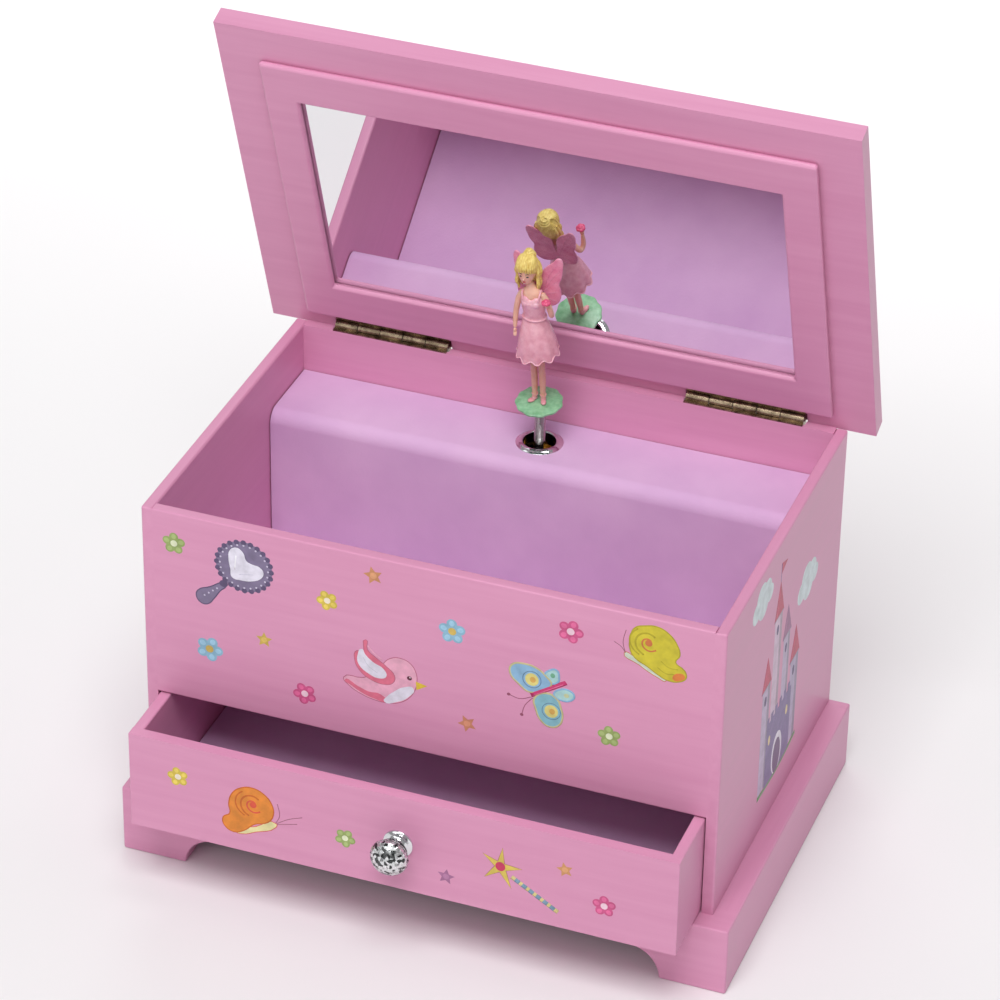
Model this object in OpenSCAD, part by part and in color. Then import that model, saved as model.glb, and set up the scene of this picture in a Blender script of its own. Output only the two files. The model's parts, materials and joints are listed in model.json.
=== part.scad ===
// Ballerina jewellery box: a painted wooden box with a mirrored lid, a drawer,
// and a key-wound musical movement that turns a small spring-mounted dancer.
// X runs to the right, -Y to the front, +Z up; the origin is on the table.

/* [Body] */
// Width of the box body
body_w = 200; // [190:1:230]
// Depth of the box body
body_d = 131; // [126:1:145]
// Height of the rim above the table
rim_z = 135.7; // [135:0.1:145]
// Thickness of the wooden walls
wall_t = 4; // [3.5:0.5:5]
// Height of the plinth
plinth_h = 25.5; // [22:0.5:26]
// How far the plinth stands out at each side
plinth_side = 7.5; // [4:0.5:10]
// How far the plinth stands out at the front
plinth_front = 7; // [4:0.5:10]
// Top of the drawer opening
bay_top_z = 63.5; // [60:0.5:64]
// Half width of the arch between the front feet, at the table
arch_half_w = 84.5; // [60:0.5:90]
// Height of the arch between the front feet
arch_h = 11; // [6:0.5:14]

/* [Lid] */
// Width of the lid
lid_w = 219; // [208:1:225]
// Depth of the lid
lid_d = 138.7; // [136:0.1:145]
// Thickness of the lid board
lid_t = 6.8; // [6:0.1:9]
// Angle of the open lid, measured from closed
lid_open = 71.2; // [40:0.1:80]
// Half width of the mirror opening
mirror_half_w = 82.6; // [60:0.1:85]
// Distance from the lid's back edge to the mirror opening
mirror_start = 21; // [18:0.5:30]
// Length of the mirror opening, back to front
mirror_len = 88.7; // [60:0.1:95]
// Distance of each hinge from the middle of the box
hinge_x = 64; // [40:1:70]
// Length of each hinge
hinge_len = 42; // [30:1:45]

/* [Drawer] */
// How far the drawer is pulled out
drawer_out = 25; // [0:1:60]
// Depth of the drawer, front to back
drawer_d = 120; // [100:1:121]
// How far the knob stands out
knob_out = 13; // [10:0.5:16]
// Radius of the crystal knob
knob_r = 6.65; // [5:0.05:8]

/* [Insert and dancer] */
// Height of the music deck's top
deck_z = 118; // [116:0.5:119]
// Depth of the music deck, back wall to rounded front edge
deck_d = 31; // [29:0.5:34]
// Sideways place of the dancer's spindle
spindle_x = -2.8; // [-6:0.1:0]
// Distance from the body's back to the spindle
spindle_back = 19; // [18.5:0.5:19.5]
// How far the dancer leans forward with the lid open
dancer_lean = 9; // [6:0.5:12]
// Radius of the green stand under the dancer
stand_r = 8.4; // [6:0.1:8.4]

/* [Movement] */
// Height of the cylinder and winding arbor
mech_z = 88; // [87:0.5:89]
// Tooth size of the drive train: pitch diameter over number of teeth
gear_module = 0.6; // [0.55:0.01:0.6]
// How far the winding key stands out behind the box
key_out = 16; // [12:0.5:20]

/* [Hidden] */
$fn = 48;

inner_w = body_w - 2 * wall_t;
plinth_w = body_w + 2 * plinth_side;

// The body's centre is set so that the whole object, from the knob to the key,
// is centred on the origin front to back.
body_y = (drawer_out + knob_out - key_out) / 2;
front_y = body_y - body_d / 2;
back_y = body_y + body_d / 2;
inner_front_y = front_y + wall_t;
inner_back_y = back_y - wall_t;

board_t = 3;
floor_z = bay_top_z + 1;
lining_t = 1;
floor_top_z = floor_z + board_t;
lining_top_z = floor_top_z + lining_t;
fit_gap = 0.3;

deck_t = 2.5;
deck_edge_r = 5;
deck_front_y = inner_back_y - deck_d;

lid_gap = 1.25;
leaf_t = 0.5;
hinge_y = back_y;
hinge_z = rim_z + lid_gap / 2;
barrel_r = 2.2;
notch_r = 2.55;
pin_r = 0.7;
pin_bore_r = 0.75;
knuckles = 5;
leaf_w = 3.9;
screw_y = back_y - 3.25;
lid_back_y = back_y - 0.5;
lid_tail_y = back_y + 2;
lid_z = rim_z + lid_gap;
mirror_frame_t = 2.5;
mirror_frame_half_w = inner_w / 2 - 1;
mirror_t = 1.5;
pocket_t = 1.8;
mirror_lap = 0.6;

drawer_gap = 0.4;
drawer_w = inner_w - 2 * drawer_gap;
drawer_z = plinth_h + 0.5;
drawer_top_z = bay_top_z - 0.5;
drawer_front_y = front_y - drawer_out;
drawer_bottom_t = 2.5;
knob_z = (drawer_z + drawer_top_z) / 2;
knob_screw_r = 1.8;

spindle_y = back_y - spindle_back;
fold_z = deck_z + 8.8;
grommet_hole_r = 5.7;
grommet_tube_r = 6.5;
grommet_r = 8.25;

// Musical movement, hung on the back panel behind the insert's front face
plate_t = 2;
plate_y = inner_back_y - 6.5;
plate_x0 = spindle_x - 43;
plate_x1 = spindle_x + 23;
plate_z0 = mech_z - 17;
plate_z1 = mech_z + 25;
front_plate_y = deck_front_y + deck_t + 0.7;
front_plate_t = 1.2;
cylinder_teeth = 24;
drive_teeth = 48;
pinion_teeth = 8;
gear_t = 2;
gear_y = plate_y - 2.5;
cylinder_r = 5.5;
comb_y0 = spindle_y - 3.4;
comb_teeth = 10;
arbor_r = 1.2;
bush_gap = 0.05;
key_x = spindle_x - gear_module * (cylinder_teeth + drive_teeth) / 2;
key_arbor_r = 2;
governor_angle = -50;
governor_dist = gear_module * (cylinder_teeth + pinion_teeth) / 2;
governor_x = spindle_x + governor_dist * cos(governor_angle);
governor_z = mech_z + governor_dist * sin(governor_angle);
worm_wheel_r = 3;
worm_r = 1;
worm_x = governor_x + worm_wheel_r + worm_r + 0.5;
worm_y = spindle_y - 1.5;
crown_r = 7.5;
crown_pins = 12;
spindle_teeth = 8;
spindle_pitch_r = crown_r * spindle_teeth / crown_pins;
housing_r = 12.8;
plate_screws = [for (x = [plate_x0 + 3, plate_x1 - 3], z = [plate_z0 + 3, plate_z1 - 3]) [x, z]];

pink = [0.85, 0.60, 0.71];
light_pink = [0.91, 0.66, 0.77];
lilac = [0.76, 0.58, 0.76];
brass = [0.75, 0.62, 0.32];
old_brass = [0.35, 0.29, 0.22];
steel = [0.75, 0.76, 0.78];

// ---- Shared shapes ----

// A board given by its six faces
module board(x0, x1, y0, y1, z0, z1) {
    translate([x0, y0, z0]) cube([x1 - x0, y1 - y0, z1 - z0]);
}

// An outline drawn in Y and Z, extruded along X
module along_x(x0, len) {
    translate([x0, 0, 0]) rotate([90, 0, 90]) linear_extrude(len) children();
}

// A round bar or hole along Y, from y0 to y1
module rod_y(r, x, z, y0, y1) {
    translate([x, y1, z]) rotate([90, 0, 0]) cylinder(r = r, h = y1 - y0);
}

// A round bar or hole along Z, from z0 to z1
module rod_z(r, x, y, z0, z1) {
    translate([x, y, z0]) cylinder(r = r, h = z1 - z0);
}

// A round bar or hole along X, from x0 to x1
module rod_x(r, y, z, x0, x1) {
    translate([x0, y, z]) rotate([0, 90, 0]) cylinder(r = r, h = x1 - x0);
}

// A flat gear about Z with straight-flanked teeth; the first tooth is at phase degrees
module spur_gear(teeth, module_size, thickness, phase = 0) {
    pitch_r = teeth * module_size / 2;
    root_r = pitch_r - 1.15 * module_size;
    tip_r = pitch_r + 0.8 * module_size;
    step = 360 / teeth;
    linear_extrude(thickness) union() {
        circle(r = root_r);
        for (i = [0 : teeth - 1]) rotate(i * step + phase)
            polygon([
                [root_r - 0.4, -root_r * sin(step * 0.26)],
                [tip_r, -tip_r * sin(step * 0.11)],
                [tip_r, tip_r * sin(step * 0.11)],
                [root_r - 0.4, root_r * sin(step * 0.26)]]);
    }
}

// Stands a flat gear up so that it turns about Y, with its back face at y1
module gear_on_y(x, z, y1) {
    translate([x, y1, z]) rotate([90, 0, 0]) children();
}

// Swings pieces drawn on the closed lid up to the open angle
module on_lid() {
    translate([0, hinge_y, hinge_z]) rotate([-lid_open, 0, 0]) translate([0, -hinge_y, -hinge_z])
        children();
}

// Puts pieces drawn along Z from the fold point onto the leaning dancer
module on_dancer() {
    translate([spindle_x, spindle_y, fold_z]) rotate([dancer_lean, 0, 0]) children();
}

// ---- Wooden case ----

module hinge_notches() {
    for (side = [-1, 1])
        rod_x(notch_r, hinge_y, hinge_z, side * hinge_x - hinge_len / 2 - 0.5,
            side * hinge_x + hinge_len / 2 + 0.5);
}

// Places of the case leaf's screws, one on each of its knuckles
function case_screw_xs() = [for (side = [-1, 1], k = [0 : 2 : knuckles - 1])
    side * hinge_x + (k + 0.5 - knuckles / 2) * hinge_len / knuckles];

// Places of the lid leaf's screws, one on each of its knuckles
function lid_screw_xs() = [for (side = [-1, 1], k = [1 : 2 : knuckles - 1])
    side * hinge_x + (k + 0.5 - knuckles / 2) * hinge_len / knuckles];

module front_panel() {
    color(pink) board(-inner_w / 2, inner_w / 2, front_y, inner_front_y, bay_top_z, rim_z);
}

module back_panel() {
    color(pink) difference() {
        board(-inner_w / 2, inner_w / 2, inner_back_y, back_y, plinth_h, rim_z);
        hinge_notches();
        for (x = case_screw_xs()) rod_z(0.4, x, screw_y, rim_z - 5.2, rim_z + 1);
        rod_y(4, key_x, mech_z, inner_back_y - 1, back_y + 1);
        for (p = plate_screws) rod_y(1.45, p[0], p[1], inner_back_y - 1, back_y + 1);
    }
}

module side_panel(side) {
    color(pink) translate([side * (body_w - wall_t) / 2, 0, 0])
        board(-wall_t / 2, wall_t / 2, front_y, back_y, plinth_h, rim_z);
}

module left_side_panel() { side_panel(-1); }

module right_side_panel() { side_panel(1); }

module compartment_floor() {
    color(light_pink)
        board(-inner_w / 2, inner_w / 2, inner_front_y, inner_back_y, floor_z, floor_top_z);
}

module base_board() {
    color(light_pink)
        board(-inner_w / 2, inner_w / 2, inner_front_y, inner_back_y, plinth_h - board_t, plinth_h);
}

// Outline of the arch between the front feet: flat on top, with a quarter round at each end
module arch_outline() {
    flat_half_w = arch_half_w - arch_h;
    translate([-flat_half_w, -1]) square([2 * flat_half_w, arch_h + 1]);
    for (side = [-1, 1]) translate([side * flat_half_w, 0]) circle(r = arch_h);
}

module plinth_front_rail() {
    color(pink) difference() {
        board(-plinth_w / 2, plinth_w / 2, front_y - plinth_front, inner_front_y, 0, plinth_h);
        translate([0, inner_front_y + 1, 0]) rotate([90, 0, 0])
            linear_extrude(plinth_front + wall_t + 2) arch_outline();
    }
}

module plinth_side_rail(side) {
    rail_w = plinth_side + wall_t;
    color(pink) translate([side * (plinth_w - rail_w) / 2, 0, 0])
        board(-rail_w / 2, rail_w / 2, inner_front_y, inner_back_y, 0, plinth_h);
}

module plinth_left_rail() { plinth_side_rail(-1); }

module plinth_right_rail() { plinth_side_rail(1); }

module plinth_back_rail() {
    color(pink) board(-plinth_w / 2, plinth_w / 2, inner_back_y, back_y, 0, plinth_h);
}

// ---- Lilac insert ----

module tray_lining() {
    color(lilac)
        board(-inner_w / 2 + fit_gap, inner_w / 2 - fit_gap, inner_front_y + fit_gap,
            deck_front_y + deck_t, floor_top_z, lining_top_z);
}

// A block with a rounded upper front edge, drawn in Y and Z
module rounded_step(y0, top_z, bottom_z, y1, r) {
    translate([y0 + r, bottom_z]) square([y1 - y0 - r, top_z - bottom_z]);
    translate([y0, bottom_z]) square([r, top_z - r - bottom_z]);
    translate([y0 + r, top_z - r]) circle(r = r);
}

module music_deck() {
    color(lilac) difference() {
        along_x(-inner_w / 2 + fit_gap, inner_w - 2 * fit_gap) difference() {
            rounded_step(deck_front_y, deck_z, lining_top_z, inner_back_y - fit_gap, deck_edge_r);
            rounded_step(deck_front_y + deck_t, deck_z - deck_t, lining_top_z - 1, back_y,
                deck_edge_r - deck_t);
        }
        rod_z(grommet_tube_r + bush_gap, spindle_x, spindle_y, deck_z - 10, deck_z + 1);
    }
}

module grommet() {
    color(steel) translate([spindle_x, spindle_y, 0]) rotate_extrude() polygon([
        [grommet_hole_r, deck_z - 4], [grommet_tube_r, deck_z - 4], [grommet_tube_r, deck_z],
        [grommet_r, deck_z], [grommet_r, deck_z + 0.1], [grommet_r - 0.65, deck_z + 0.3],
        [grommet_r - 1.3, deck_z + 0.8], [grommet_hole_r + 0.5, deck_z + 1],
        [grommet_hole_r, deck_z + 0.7]]);
}

// ---- Lid ----

module lid_board() {
    color(pink) on_lid() difference() {
        board(-lid_w / 2, lid_w / 2, lid_back_y - lid_d, lid_tail_y, lid_z, lid_z + lid_t);
        board(-mirror_half_w - 0.8, mirror_half_w + 0.8, lid_back_y - mirror_start - mirror_len - 0.8,
            lid_back_y - mirror_start + 0.8, lid_z - 1, lid_z + pocket_t);
        hinge_notches();
        for (x = lid_screw_xs()) rod_z(0.4, x, screw_y, lid_z - 1, lid_z + 5.2);
    }
}

module mirror_frame() {
    color(light_pink) on_lid() difference() {
        board(-mirror_frame_half_w, mirror_frame_half_w, inner_front_y + 1, lid_back_y - 4.6,
            lid_z - mirror_frame_t, lid_z);
        board(-mirror_half_w, mirror_half_w, lid_back_y - mirror_start - mirror_len,
            lid_back_y - mirror_start, lid_z - mirror_frame_t - 1, lid_z + 1);
    }
}

module mirror() {
    color([0.8, 0.85, 0.88]) on_lid()
        board(-mirror_half_w - mirror_lap, mirror_half_w + mirror_lap,
            lid_back_y - mirror_start - mirror_len - mirror_lap,
            lid_back_y - mirror_start + mirror_lap, lid_z + 0.2, lid_z + 0.2 + mirror_t);
}

// One leaf of a hinge, lying on the level leaf_z; first is its first knuckle
module hinge_leaf(x, leaf_z, first, screw_xs, head_up) {
    knuckle_w = hinge_len / knuckles;
    head_z = head_up ? leaf_z + leaf_t - 0.35 : leaf_z - 1;
    difference() {
        union() {
            board(x - hinge_len / 2, x + hinge_len / 2, back_y - leaf_w, back_y - notch_r,
                leaf_z, leaf_z + leaf_t);
            for (k = [first : 2 : knuckles - 1]) {
                x0 = x - hinge_len / 2 + k * knuckle_w + 0.15;
                board(x0, x0 + knuckle_w - 0.3, back_y - notch_r - 0.1, back_y,
                    leaf_z, leaf_z + leaf_t);
                rod_x(barrel_r, hinge_y, hinge_z, x0, x0 + knuckle_w - 0.3);
            }
        }
        rod_x(pin_bore_r, hinge_y, hinge_z, x - hinge_len / 2 - 1, x + hinge_len / 2 + 1);
        for (sx = screw_xs) {
            rod_z(0.4, sx, screw_y, leaf_z - 1, leaf_z + leaf_t + 1);
            rod_z(0.55, sx, screw_y, head_z, head_z + 1.35);
        }
    }
}

module case_leaf(x) { color(old_brass) hinge_leaf(x, rim_z, 0, case_screw_xs(), true); }

module lid_leaf(x) { color(old_brass) on_lid() hinge_leaf(x, lid_z - leaf_t, 1, lid_screw_xs(), false); }

module hinge_pin(x) {
    color(old_brass) rod_x(pin_r, hinge_y, hinge_z, x - hinge_len / 2, x + hinge_len / 2);
}

module left_hinge_case_leaf() { case_leaf(-hinge_x); }

module right_hinge_case_leaf() { case_leaf(hinge_x); }

module left_hinge_lid_leaf() { lid_leaf(-hinge_x); }

module right_hinge_lid_leaf() { lid_leaf(hinge_x); }

module left_hinge_pin() { hinge_pin(-hinge_x); }

module right_hinge_pin() { hinge_pin(hinge_x); }

module case_hinge_screws() {
    color(old_brass) for (x = case_screw_xs()) {
        rod_z(0.5, x, screw_y, rim_z + leaf_t - 0.3, rim_z + leaf_t);
        rod_z(0.35, x, screw_y, rim_z - 5, rim_z + leaf_t - 0.2);
    }
}

module lid_hinge_screws() {
    color(old_brass) on_lid() for (x = lid_screw_xs()) {
        rod_z(0.5, x, screw_y, lid_z - leaf_t, lid_z - leaf_t + 0.3);
        rod_z(0.35, x, screw_y, lid_z - leaf_t + 0.2, lid_z + 5);
    }
}

// ---- Drawer ----

module drawer_front() {
    color(pink) difference() {
        board(-drawer_w / 2, drawer_w / 2, drawer_front_y, drawer_front_y + wall_t,
            drawer_z, drawer_top_z);
        rod_y(knob_screw_r + bush_gap, 0, knob_z, drawer_front_y - 1, drawer_front_y + wall_t + 1);
    }
}

module drawer_side(side) {
    color(light_pink) translate([side * (drawer_w - wall_t) / 2, 0, 0])
        board(-wall_t / 2, wall_t / 2, drawer_front_y + wall_t, drawer_front_y + drawer_d,
            drawer_z, drawer_top_z);
}

module drawer_left_side() { drawer_side(-1); }

module drawer_right_side() { drawer_side(1); }

module drawer_back() {
    color(light_pink)
        board(-drawer_w / 2 + wall_t, drawer_w / 2 - wall_t, drawer_front_y + drawer_d - wall_t,
            drawer_front_y + drawer_d, drawer_z, drawer_top_z);
}

module drawer_bottom() {
    color(light_pink)
        board(-drawer_w / 2 + wall_t, drawer_w / 2 - wall_t, drawer_front_y + wall_t,
            drawer_front_y + drawer_d - wall_t, drawer_z, drawer_z + drawer_bottom_t);
}

module drawer_lining() {
    color(lilac)
        board(-drawer_w / 2 + wall_t + fit_gap, drawer_w / 2 - wall_t - fit_gap,
            drawer_front_y + wall_t + fit_gap, drawer_front_y + drawer_d - wall_t - fit_gap,
            drawer_z + drawer_bottom_t, drawer_z + drawer_bottom_t + lining_t);
}

// Stands a shape drawn along Z out from the drawer's face
module on_knob() {
    translate([0, drawer_front_y, knob_z]) rotate([90, 0, 0]) children();
}

module knob_crystal() {
    color([0.9, 0.93, 0.96]) on_knob() {
        translate([0, 0, 4.5]) cylinder(r1 = knob_r * 0.66, r2 = knob_r, h = 3, $fn = 12);
        translate([0, 0, 7.5]) cylinder(r = knob_r, h = 1.2, $fn = 12);
        translate([0, 0, 8.7]) cylinder(r1 = knob_r, r2 = knob_r * 0.5, h = knob_out - 8.7, $fn = 12);
    }
}

module knob_collar() {
    color(steel) on_knob() difference() {
        rotate_extrude() polygon([[0, 0], [5.2, 0], [5.2, 0.8], [3, 1.6], [2.9, 2.8], [4.8, 4],
            [5, 4.5], [0, 4.5]]);
        translate([0, 0, -1]) cylinder(r = knob_screw_r + bush_gap, h = 4.8);
    }
}

module knob_screw() {
    color(steel) {
        rod_y(knob_screw_r, 0, knob_z, drawer_front_y - 3.5, drawer_front_y + wall_t + 0.1);
        rod_y(3.2, 0, knob_z, drawer_front_y + wall_t, drawer_front_y + wall_t + 1.8);
    }
}

// ---- Dancer on its spring ----

// Outer outline of a close-wound coil of n turns, as a ribbed tube about Z
module coil_tube(outer_r, bore_r, wire, n) {
    ribs = [for (i = [0 : n - 1], a = [-60 : 60 : 60])
        [outer_r - wire / 2 + wire / 2 * cos(a), (i + 0.5) * wire + wire / 2 * sin(a)]];
    rotate_extrude() polygon(concat([[bore_r, 0]], [[outer_r - wire / 2, 0]], ribs,
        [[outer_r - wire / 2, n * wire], [bore_r, n * wire]]));
}

module coil_spring() {
    wire = 0.8;
    color(steel) {
        translate([spindle_x, spindle_y, deck_z + 0.4]) coil_tube(2, 1.3, wire, 10);
        on_dancer() coil_tube(2, 1.3, wire, 7);
        translate([spindle_x, spindle_y, fold_z]) sphere(r = 1.9);
    }
}

module spring_socket() {
    color(steel) on_dancer() difference() {
        translate([0, 0, 4.6]) cylinder(r = 2.7, h = 2.7);
        translate([0, 0, 4.5]) cylinder(r = 2.05, h = 1.4);
        translate([0, 0, 4.5]) cylinder(r = 1.05, h = 4);
    }
}

module dancer_stand() {
    color([0.58, 0.77, 0.62]) on_dancer() {
        translate([0, 0, 7.6]) cylinder(r = stand_r, h = 1.2);
        translate([0, 0, 8.6]) cylinder(r1 = 5, r2 = 3, h = 0.8);
        translate([0, 0, 6.1]) cylinder(r = 1, h = 1.6);
    }
}

// The shapes that the wings lie against: trunk, head and bun
module dancer_trunk() {
    translate([-0.6, 0, 45.5]) cylinder(r1 = 3, r2 = 4, h = 8);
    translate([-0.8, 0, 53]) cylinder(r1 = 4, r2 = 2.6, h = 3.6);
    translate([-2.2, 0.8, 64.8]) sphere(r = 5);
    translate([-2.2, 3, 69.2]) sphere(r = 2.6);
}

module dancer_body() {
    color([0.92, 0.66, 0.73]) on_dancer() {
        for (side = [-1, 1]) {
            translate([side * 1.3, 0, 9.4]) cylinder(r1 = 1, r2 = 1.3, h = 4);
            translate([side * 1.3, 0, 13]) cylinder(r1 = 1.2, r2 = 2.1, h = 22);
        }
        translate([0.3, 0, 30]) cylinder(r1 = 8.2, r2 = 3.2, h = 16);
        dancer_trunk();
        translate([-1.5, 0.4, 56]) cylinder(r = 1.2, h = 4);
        hull() {
            translate([-4.5, 0, 54]) sphere(r = 1.3, $fn = 24);
            translate([-6.8, -1.6, 46]) sphere(r = 1.1, $fn = 24);
        }
        hull() {
            translate([-6.8, -1.6, 46]) sphere(r = 1.1, $fn = 24);
            translate([-3.6, -4.2, 42.5]) sphere(r = 1, $fn = 24);
        }
        hull() {
            translate([3, 0, 54]) sphere(r = 1.3, $fn = 24);
            translate([6.2, -1.8, 49]) sphere(r = 1.1, $fn = 24);
        }
        hull() {
            translate([6.2, -1.8, 49]) sphere(r = 1.1, $fn = 24);
            translate([6, -4.6, 55]) sphere(r = 1, $fn = 24);
        }
    }
}

module dancer_wings() {
    color([0.93, 0.55, 0.70]) on_dancer() difference() {
        for (side = [-1, 1]) hull() {
            translate([side * 1.5, 4.1, 52]) sphere(r = 0.7, $fn = 24);
            translate([side * 5.5, 5.2, 70]) sphere(r = 0.9, $fn = 24);
            translate([side * 8.2, 4.6, 63]) sphere(r = 0.9, $fn = 24);
            translate([side * 6.4, 4.4, 47.5]) sphere(r = 0.9, $fn = 24);
        }
        dancer_trunk();
    }
}

// ---- Spindle ----

module spindle() {
    color(steel) {
        rod_z(1.5, spindle_x, spindle_y, mech_z + 6.6, deck_z);
        rod_z(1.2, spindle_x, spindle_y, deck_z - 0.1, deck_z + 3.5);
    }
}

module spindle_gear() {
    color(brass) translate([spindle_x, spindle_y, mech_z + crown_r - 0.9]) difference() {
        union() {
            spur_gear(spindle_teeth, 2 * crown_r / crown_pins * 0.94, 1.8, 180 / spindle_teeth);
            cylinder(r = 2.6, h = 3.4);
        }
        translate([0, 0, -1]) cylinder(r = 1.5 + bush_gap, h = 6);
    }
}

module spindle_bracket() {
    color(brass) difference() {
        union() {
            for (z = [mech_z + 12, mech_z + 20])
                board(spindle_x - 4, spindle_x + 4, spindle_y - 4, plate_y, z, z + 1.6);
            board(spindle_x - 4, spindle_x + 4, plate_y - 1.2, plate_y, mech_z + 12, mech_z + 21.6);
        }
        rod_z(1.5 + bush_gap, spindle_x, spindle_y, mech_z + 11, mech_z + 23);
    }
}

// ---- Musical movement ----

module movement_bedplate() {
    color(brass) difference() {
        board(plate_x0, plate_x1, plate_y, plate_y + plate_t, plate_z0, plate_z1);
        for (p = plate_screws) rod_y(1.45, p[0], p[1], plate_y - 1, plate_y + plate_t + 1);
        rod_y(key_arbor_r + bush_gap, key_x, mech_z, plate_y - 1, plate_y + plate_t + 1);
        rod_y(arbor_r + bush_gap, spindle_x, mech_z, plate_y - 1, plate_y + plate_t + 1);
        rod_y(0.8 + bush_gap, governor_x, governor_z, plate_y - 1, plate_y + plate_t + 1);
    }
}

module movement_spacers() {
    color(steel) for (p = plate_screws) difference() {
        rod_y(3, p[0], p[1], plate_y + plate_t, inner_back_y);
        rod_y(1.45, p[0], p[1], plate_y + plate_t - 1, inner_back_y + 1);
    }
}

module movement_screws() {
    color(steel) for (p = plate_screws) {
        rod_y(1.4, p[0], p[1], plate_y + 0.1, back_y + 0.1);
        rod_y(2.8, p[0], p[1], back_y, back_y + 1.4);
    }
}

module movement_front_plate() {
    pillars = [[spindle_x - 6.5, mech_z - 13], [spindle_x + 19, mech_z - 13], [spindle_x + 19, mech_z + 8]];
    color(brass) difference() {
        union() {
            board(spindle_x - 9, spindle_x + 21.5, front_plate_y, front_plate_y + front_plate_t,
                mech_z - 16, mech_z + 10.5);
            for (p = pillars) rod_y(2, p[0], p[1], front_plate_y + 0.5, plate_y);
        }
        rod_y(arbor_r + bush_gap, spindle_x, mech_z, front_plate_y - 1, front_plate_y + 3);
        rod_y(0.8 + bush_gap, governor_x, governor_z, front_plate_y - 1, front_plate_y + 3);
    }
}

module spring_housing() {
    cup_y0 = front_plate_y + 3;
    cup_y1 = gear_y - 2;
    ear_r = gear_module * drive_teeth / 2 + 3.6;
    color(steel) difference() {
        union() {
            rod_y(housing_r, key_x, mech_z, cup_y0, cup_y1);
            for (a = [80, 160, 225]) translate([key_x, 0, mech_z]) rotate([0, -a, 0]) {
                board(housing_r - 2, ear_r, cup_y1 - 1.2, cup_y1, -2, 2);
                rod_y(2, ear_r, 0, cup_y1 - 1.2, plate_y);
            }
        }
        rod_y(housing_r - 1, key_x, mech_z, cup_y0 + 1, cup_y1 - 1);
        rod_y(key_arbor_r + bush_gap, key_x, mech_z, cup_y0 - 1, cup_y1 + 1);
    }
}

// The mainspring's wound strip, drawn as nested rings joined by one spoke
module mainspring() {
    y0 = front_plate_y + 4.5;
    y1 = gear_y - 3.5;
    color([0.45, 0.48, 0.55]) {
        for (r = [4 : 2 : 10]) difference() {
            rod_y(r, key_x, mech_z, y0, y1);
            rod_y(r - 0.5, key_x, mech_z, y0 - 1, y1 + 1);
        }
        board(key_x + 3.7, key_x + 9.8, y0, y1, mech_z - 0.3, mech_z + 0.3);
    }
}

module winding_arbor() {
    color(steel) rod_y(key_arbor_r, key_x, mech_z, front_plate_y + 3.5, back_y + 7);
}

module winding_key() {
    grip_y = back_y + 6;
    color(brass) difference() {
        union() {
            rod_y(3.2, key_x, mech_z, back_y + 1, back_y + 9);
            hull() for (side = [-1, 1])
                translate([key_x + side * 6, grip_y + key_out - 11, mech_z])
                    cylinder(r = 5, h = 2, center = true, $fn = 32);
        }
        rod_y(key_arbor_r + bush_gap, key_x, mech_z, back_y, back_y + 7.1);
        for (side = [-1, 1])
            rod_z(2.2, key_x + side * 6.2, grip_y + key_out - 11, mech_z - 2, mech_z + 2);
    }
}

module drive_gear() {
    color(brass) difference() {
        gear_on_y(key_x, mech_z, gear_y + gear_t) spur_gear(drive_teeth, gear_module, gear_t);
        rod_y(key_arbor_r + bush_gap, key_x, mech_z, gear_y - 1, gear_y + gear_t + 1);
    }
}

module melody_cylinder() {
    notes = 3 * comb_teeth;
    color(brass) {
        rod_y(cylinder_r, spindle_x, mech_z, spindle_y - 5, gear_y - 1);
        rod_y(arbor_r, spindle_x, mech_z, front_plate_y, plate_y + plate_t);
        for (i = [0 : notes - 1])
            translate([spindle_x, comb_y0 + 0.6 + (i * 3) % comb_teeth * 0.8, mech_z])
                rotate([0, i * 360 / notes + 5, 0]) cylinder(r = 0.2, h = cylinder_r + 0.4, $fn = 16);
    }
}

module cylinder_gear() {
    color(brass) difference() {
        gear_on_y(spindle_x, mech_z, gear_y + gear_t)
            spur_gear(cylinder_teeth, gear_module, gear_t, 180 / cylinder_teeth);
        rod_y(arbor_r + bush_gap, spindle_x, mech_z, gear_y - 1, gear_y + gear_t + 1);
    }
}

module crown_wheel() {
    disc_y1 = spindle_y - spindle_pitch_r - 1.5;
    color(brass) {
        difference() {
            rod_y(crown_r + 0.9, spindle_x, mech_z, disc_y1 - 1.5, disc_y1);
            rod_y(arbor_r + bush_gap, spindle_x, mech_z, disc_y1 - 3, disc_y1 + 1);
        }
        for (i = [0 : crown_pins - 1]) {
            a = i * 360 / crown_pins;
            rod_y(0.5, spindle_x + crown_r * sin(a), mech_z + crown_r * cos(a), disc_y1 - 0.1,
                spindle_y - spindle_pitch_r + 1);
        }
    }
}

module comb() {
    tip_x = spindle_x + cylinder_r + 0.8;
    y0 = comb_y0;
    teeth = comb_teeth;
    pitch = 0.8;
    color(steel) difference() {
        board(tip_x, tip_x + 13.5, y0, y0 + teeth * pitch + 0.4, mech_z - 0.6, mech_z + 0.6);
        for (i = [1 : teeth - 1])
            board(tip_x - 1, tip_x + 7, y0 + 0.2 + i * pitch - 0.12, y0 + 0.2 + i * pitch + 0.12,
                mech_z - 1, mech_z + 1);
        for (y = [y0 + 1.9, y0 + 6.5]) rod_z(0.95, tip_x + 10.5, y, mech_z - 1, mech_z + 1);
    }
}

module comb_block() {
    tip_x = spindle_x + cylinder_r + 0.8;
    y0 = comb_y0;
    color(brass) difference() {
        board(tip_x + 8, tip_x + 13.5, y0, plate_y, mech_z - 6, mech_z - 0.6);
        for (y = [y0 + 1.9, y0 + 6.5]) rod_z(0.95, tip_x + 10.5, y, mech_z - 5, mech_z);
    }
}

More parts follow.
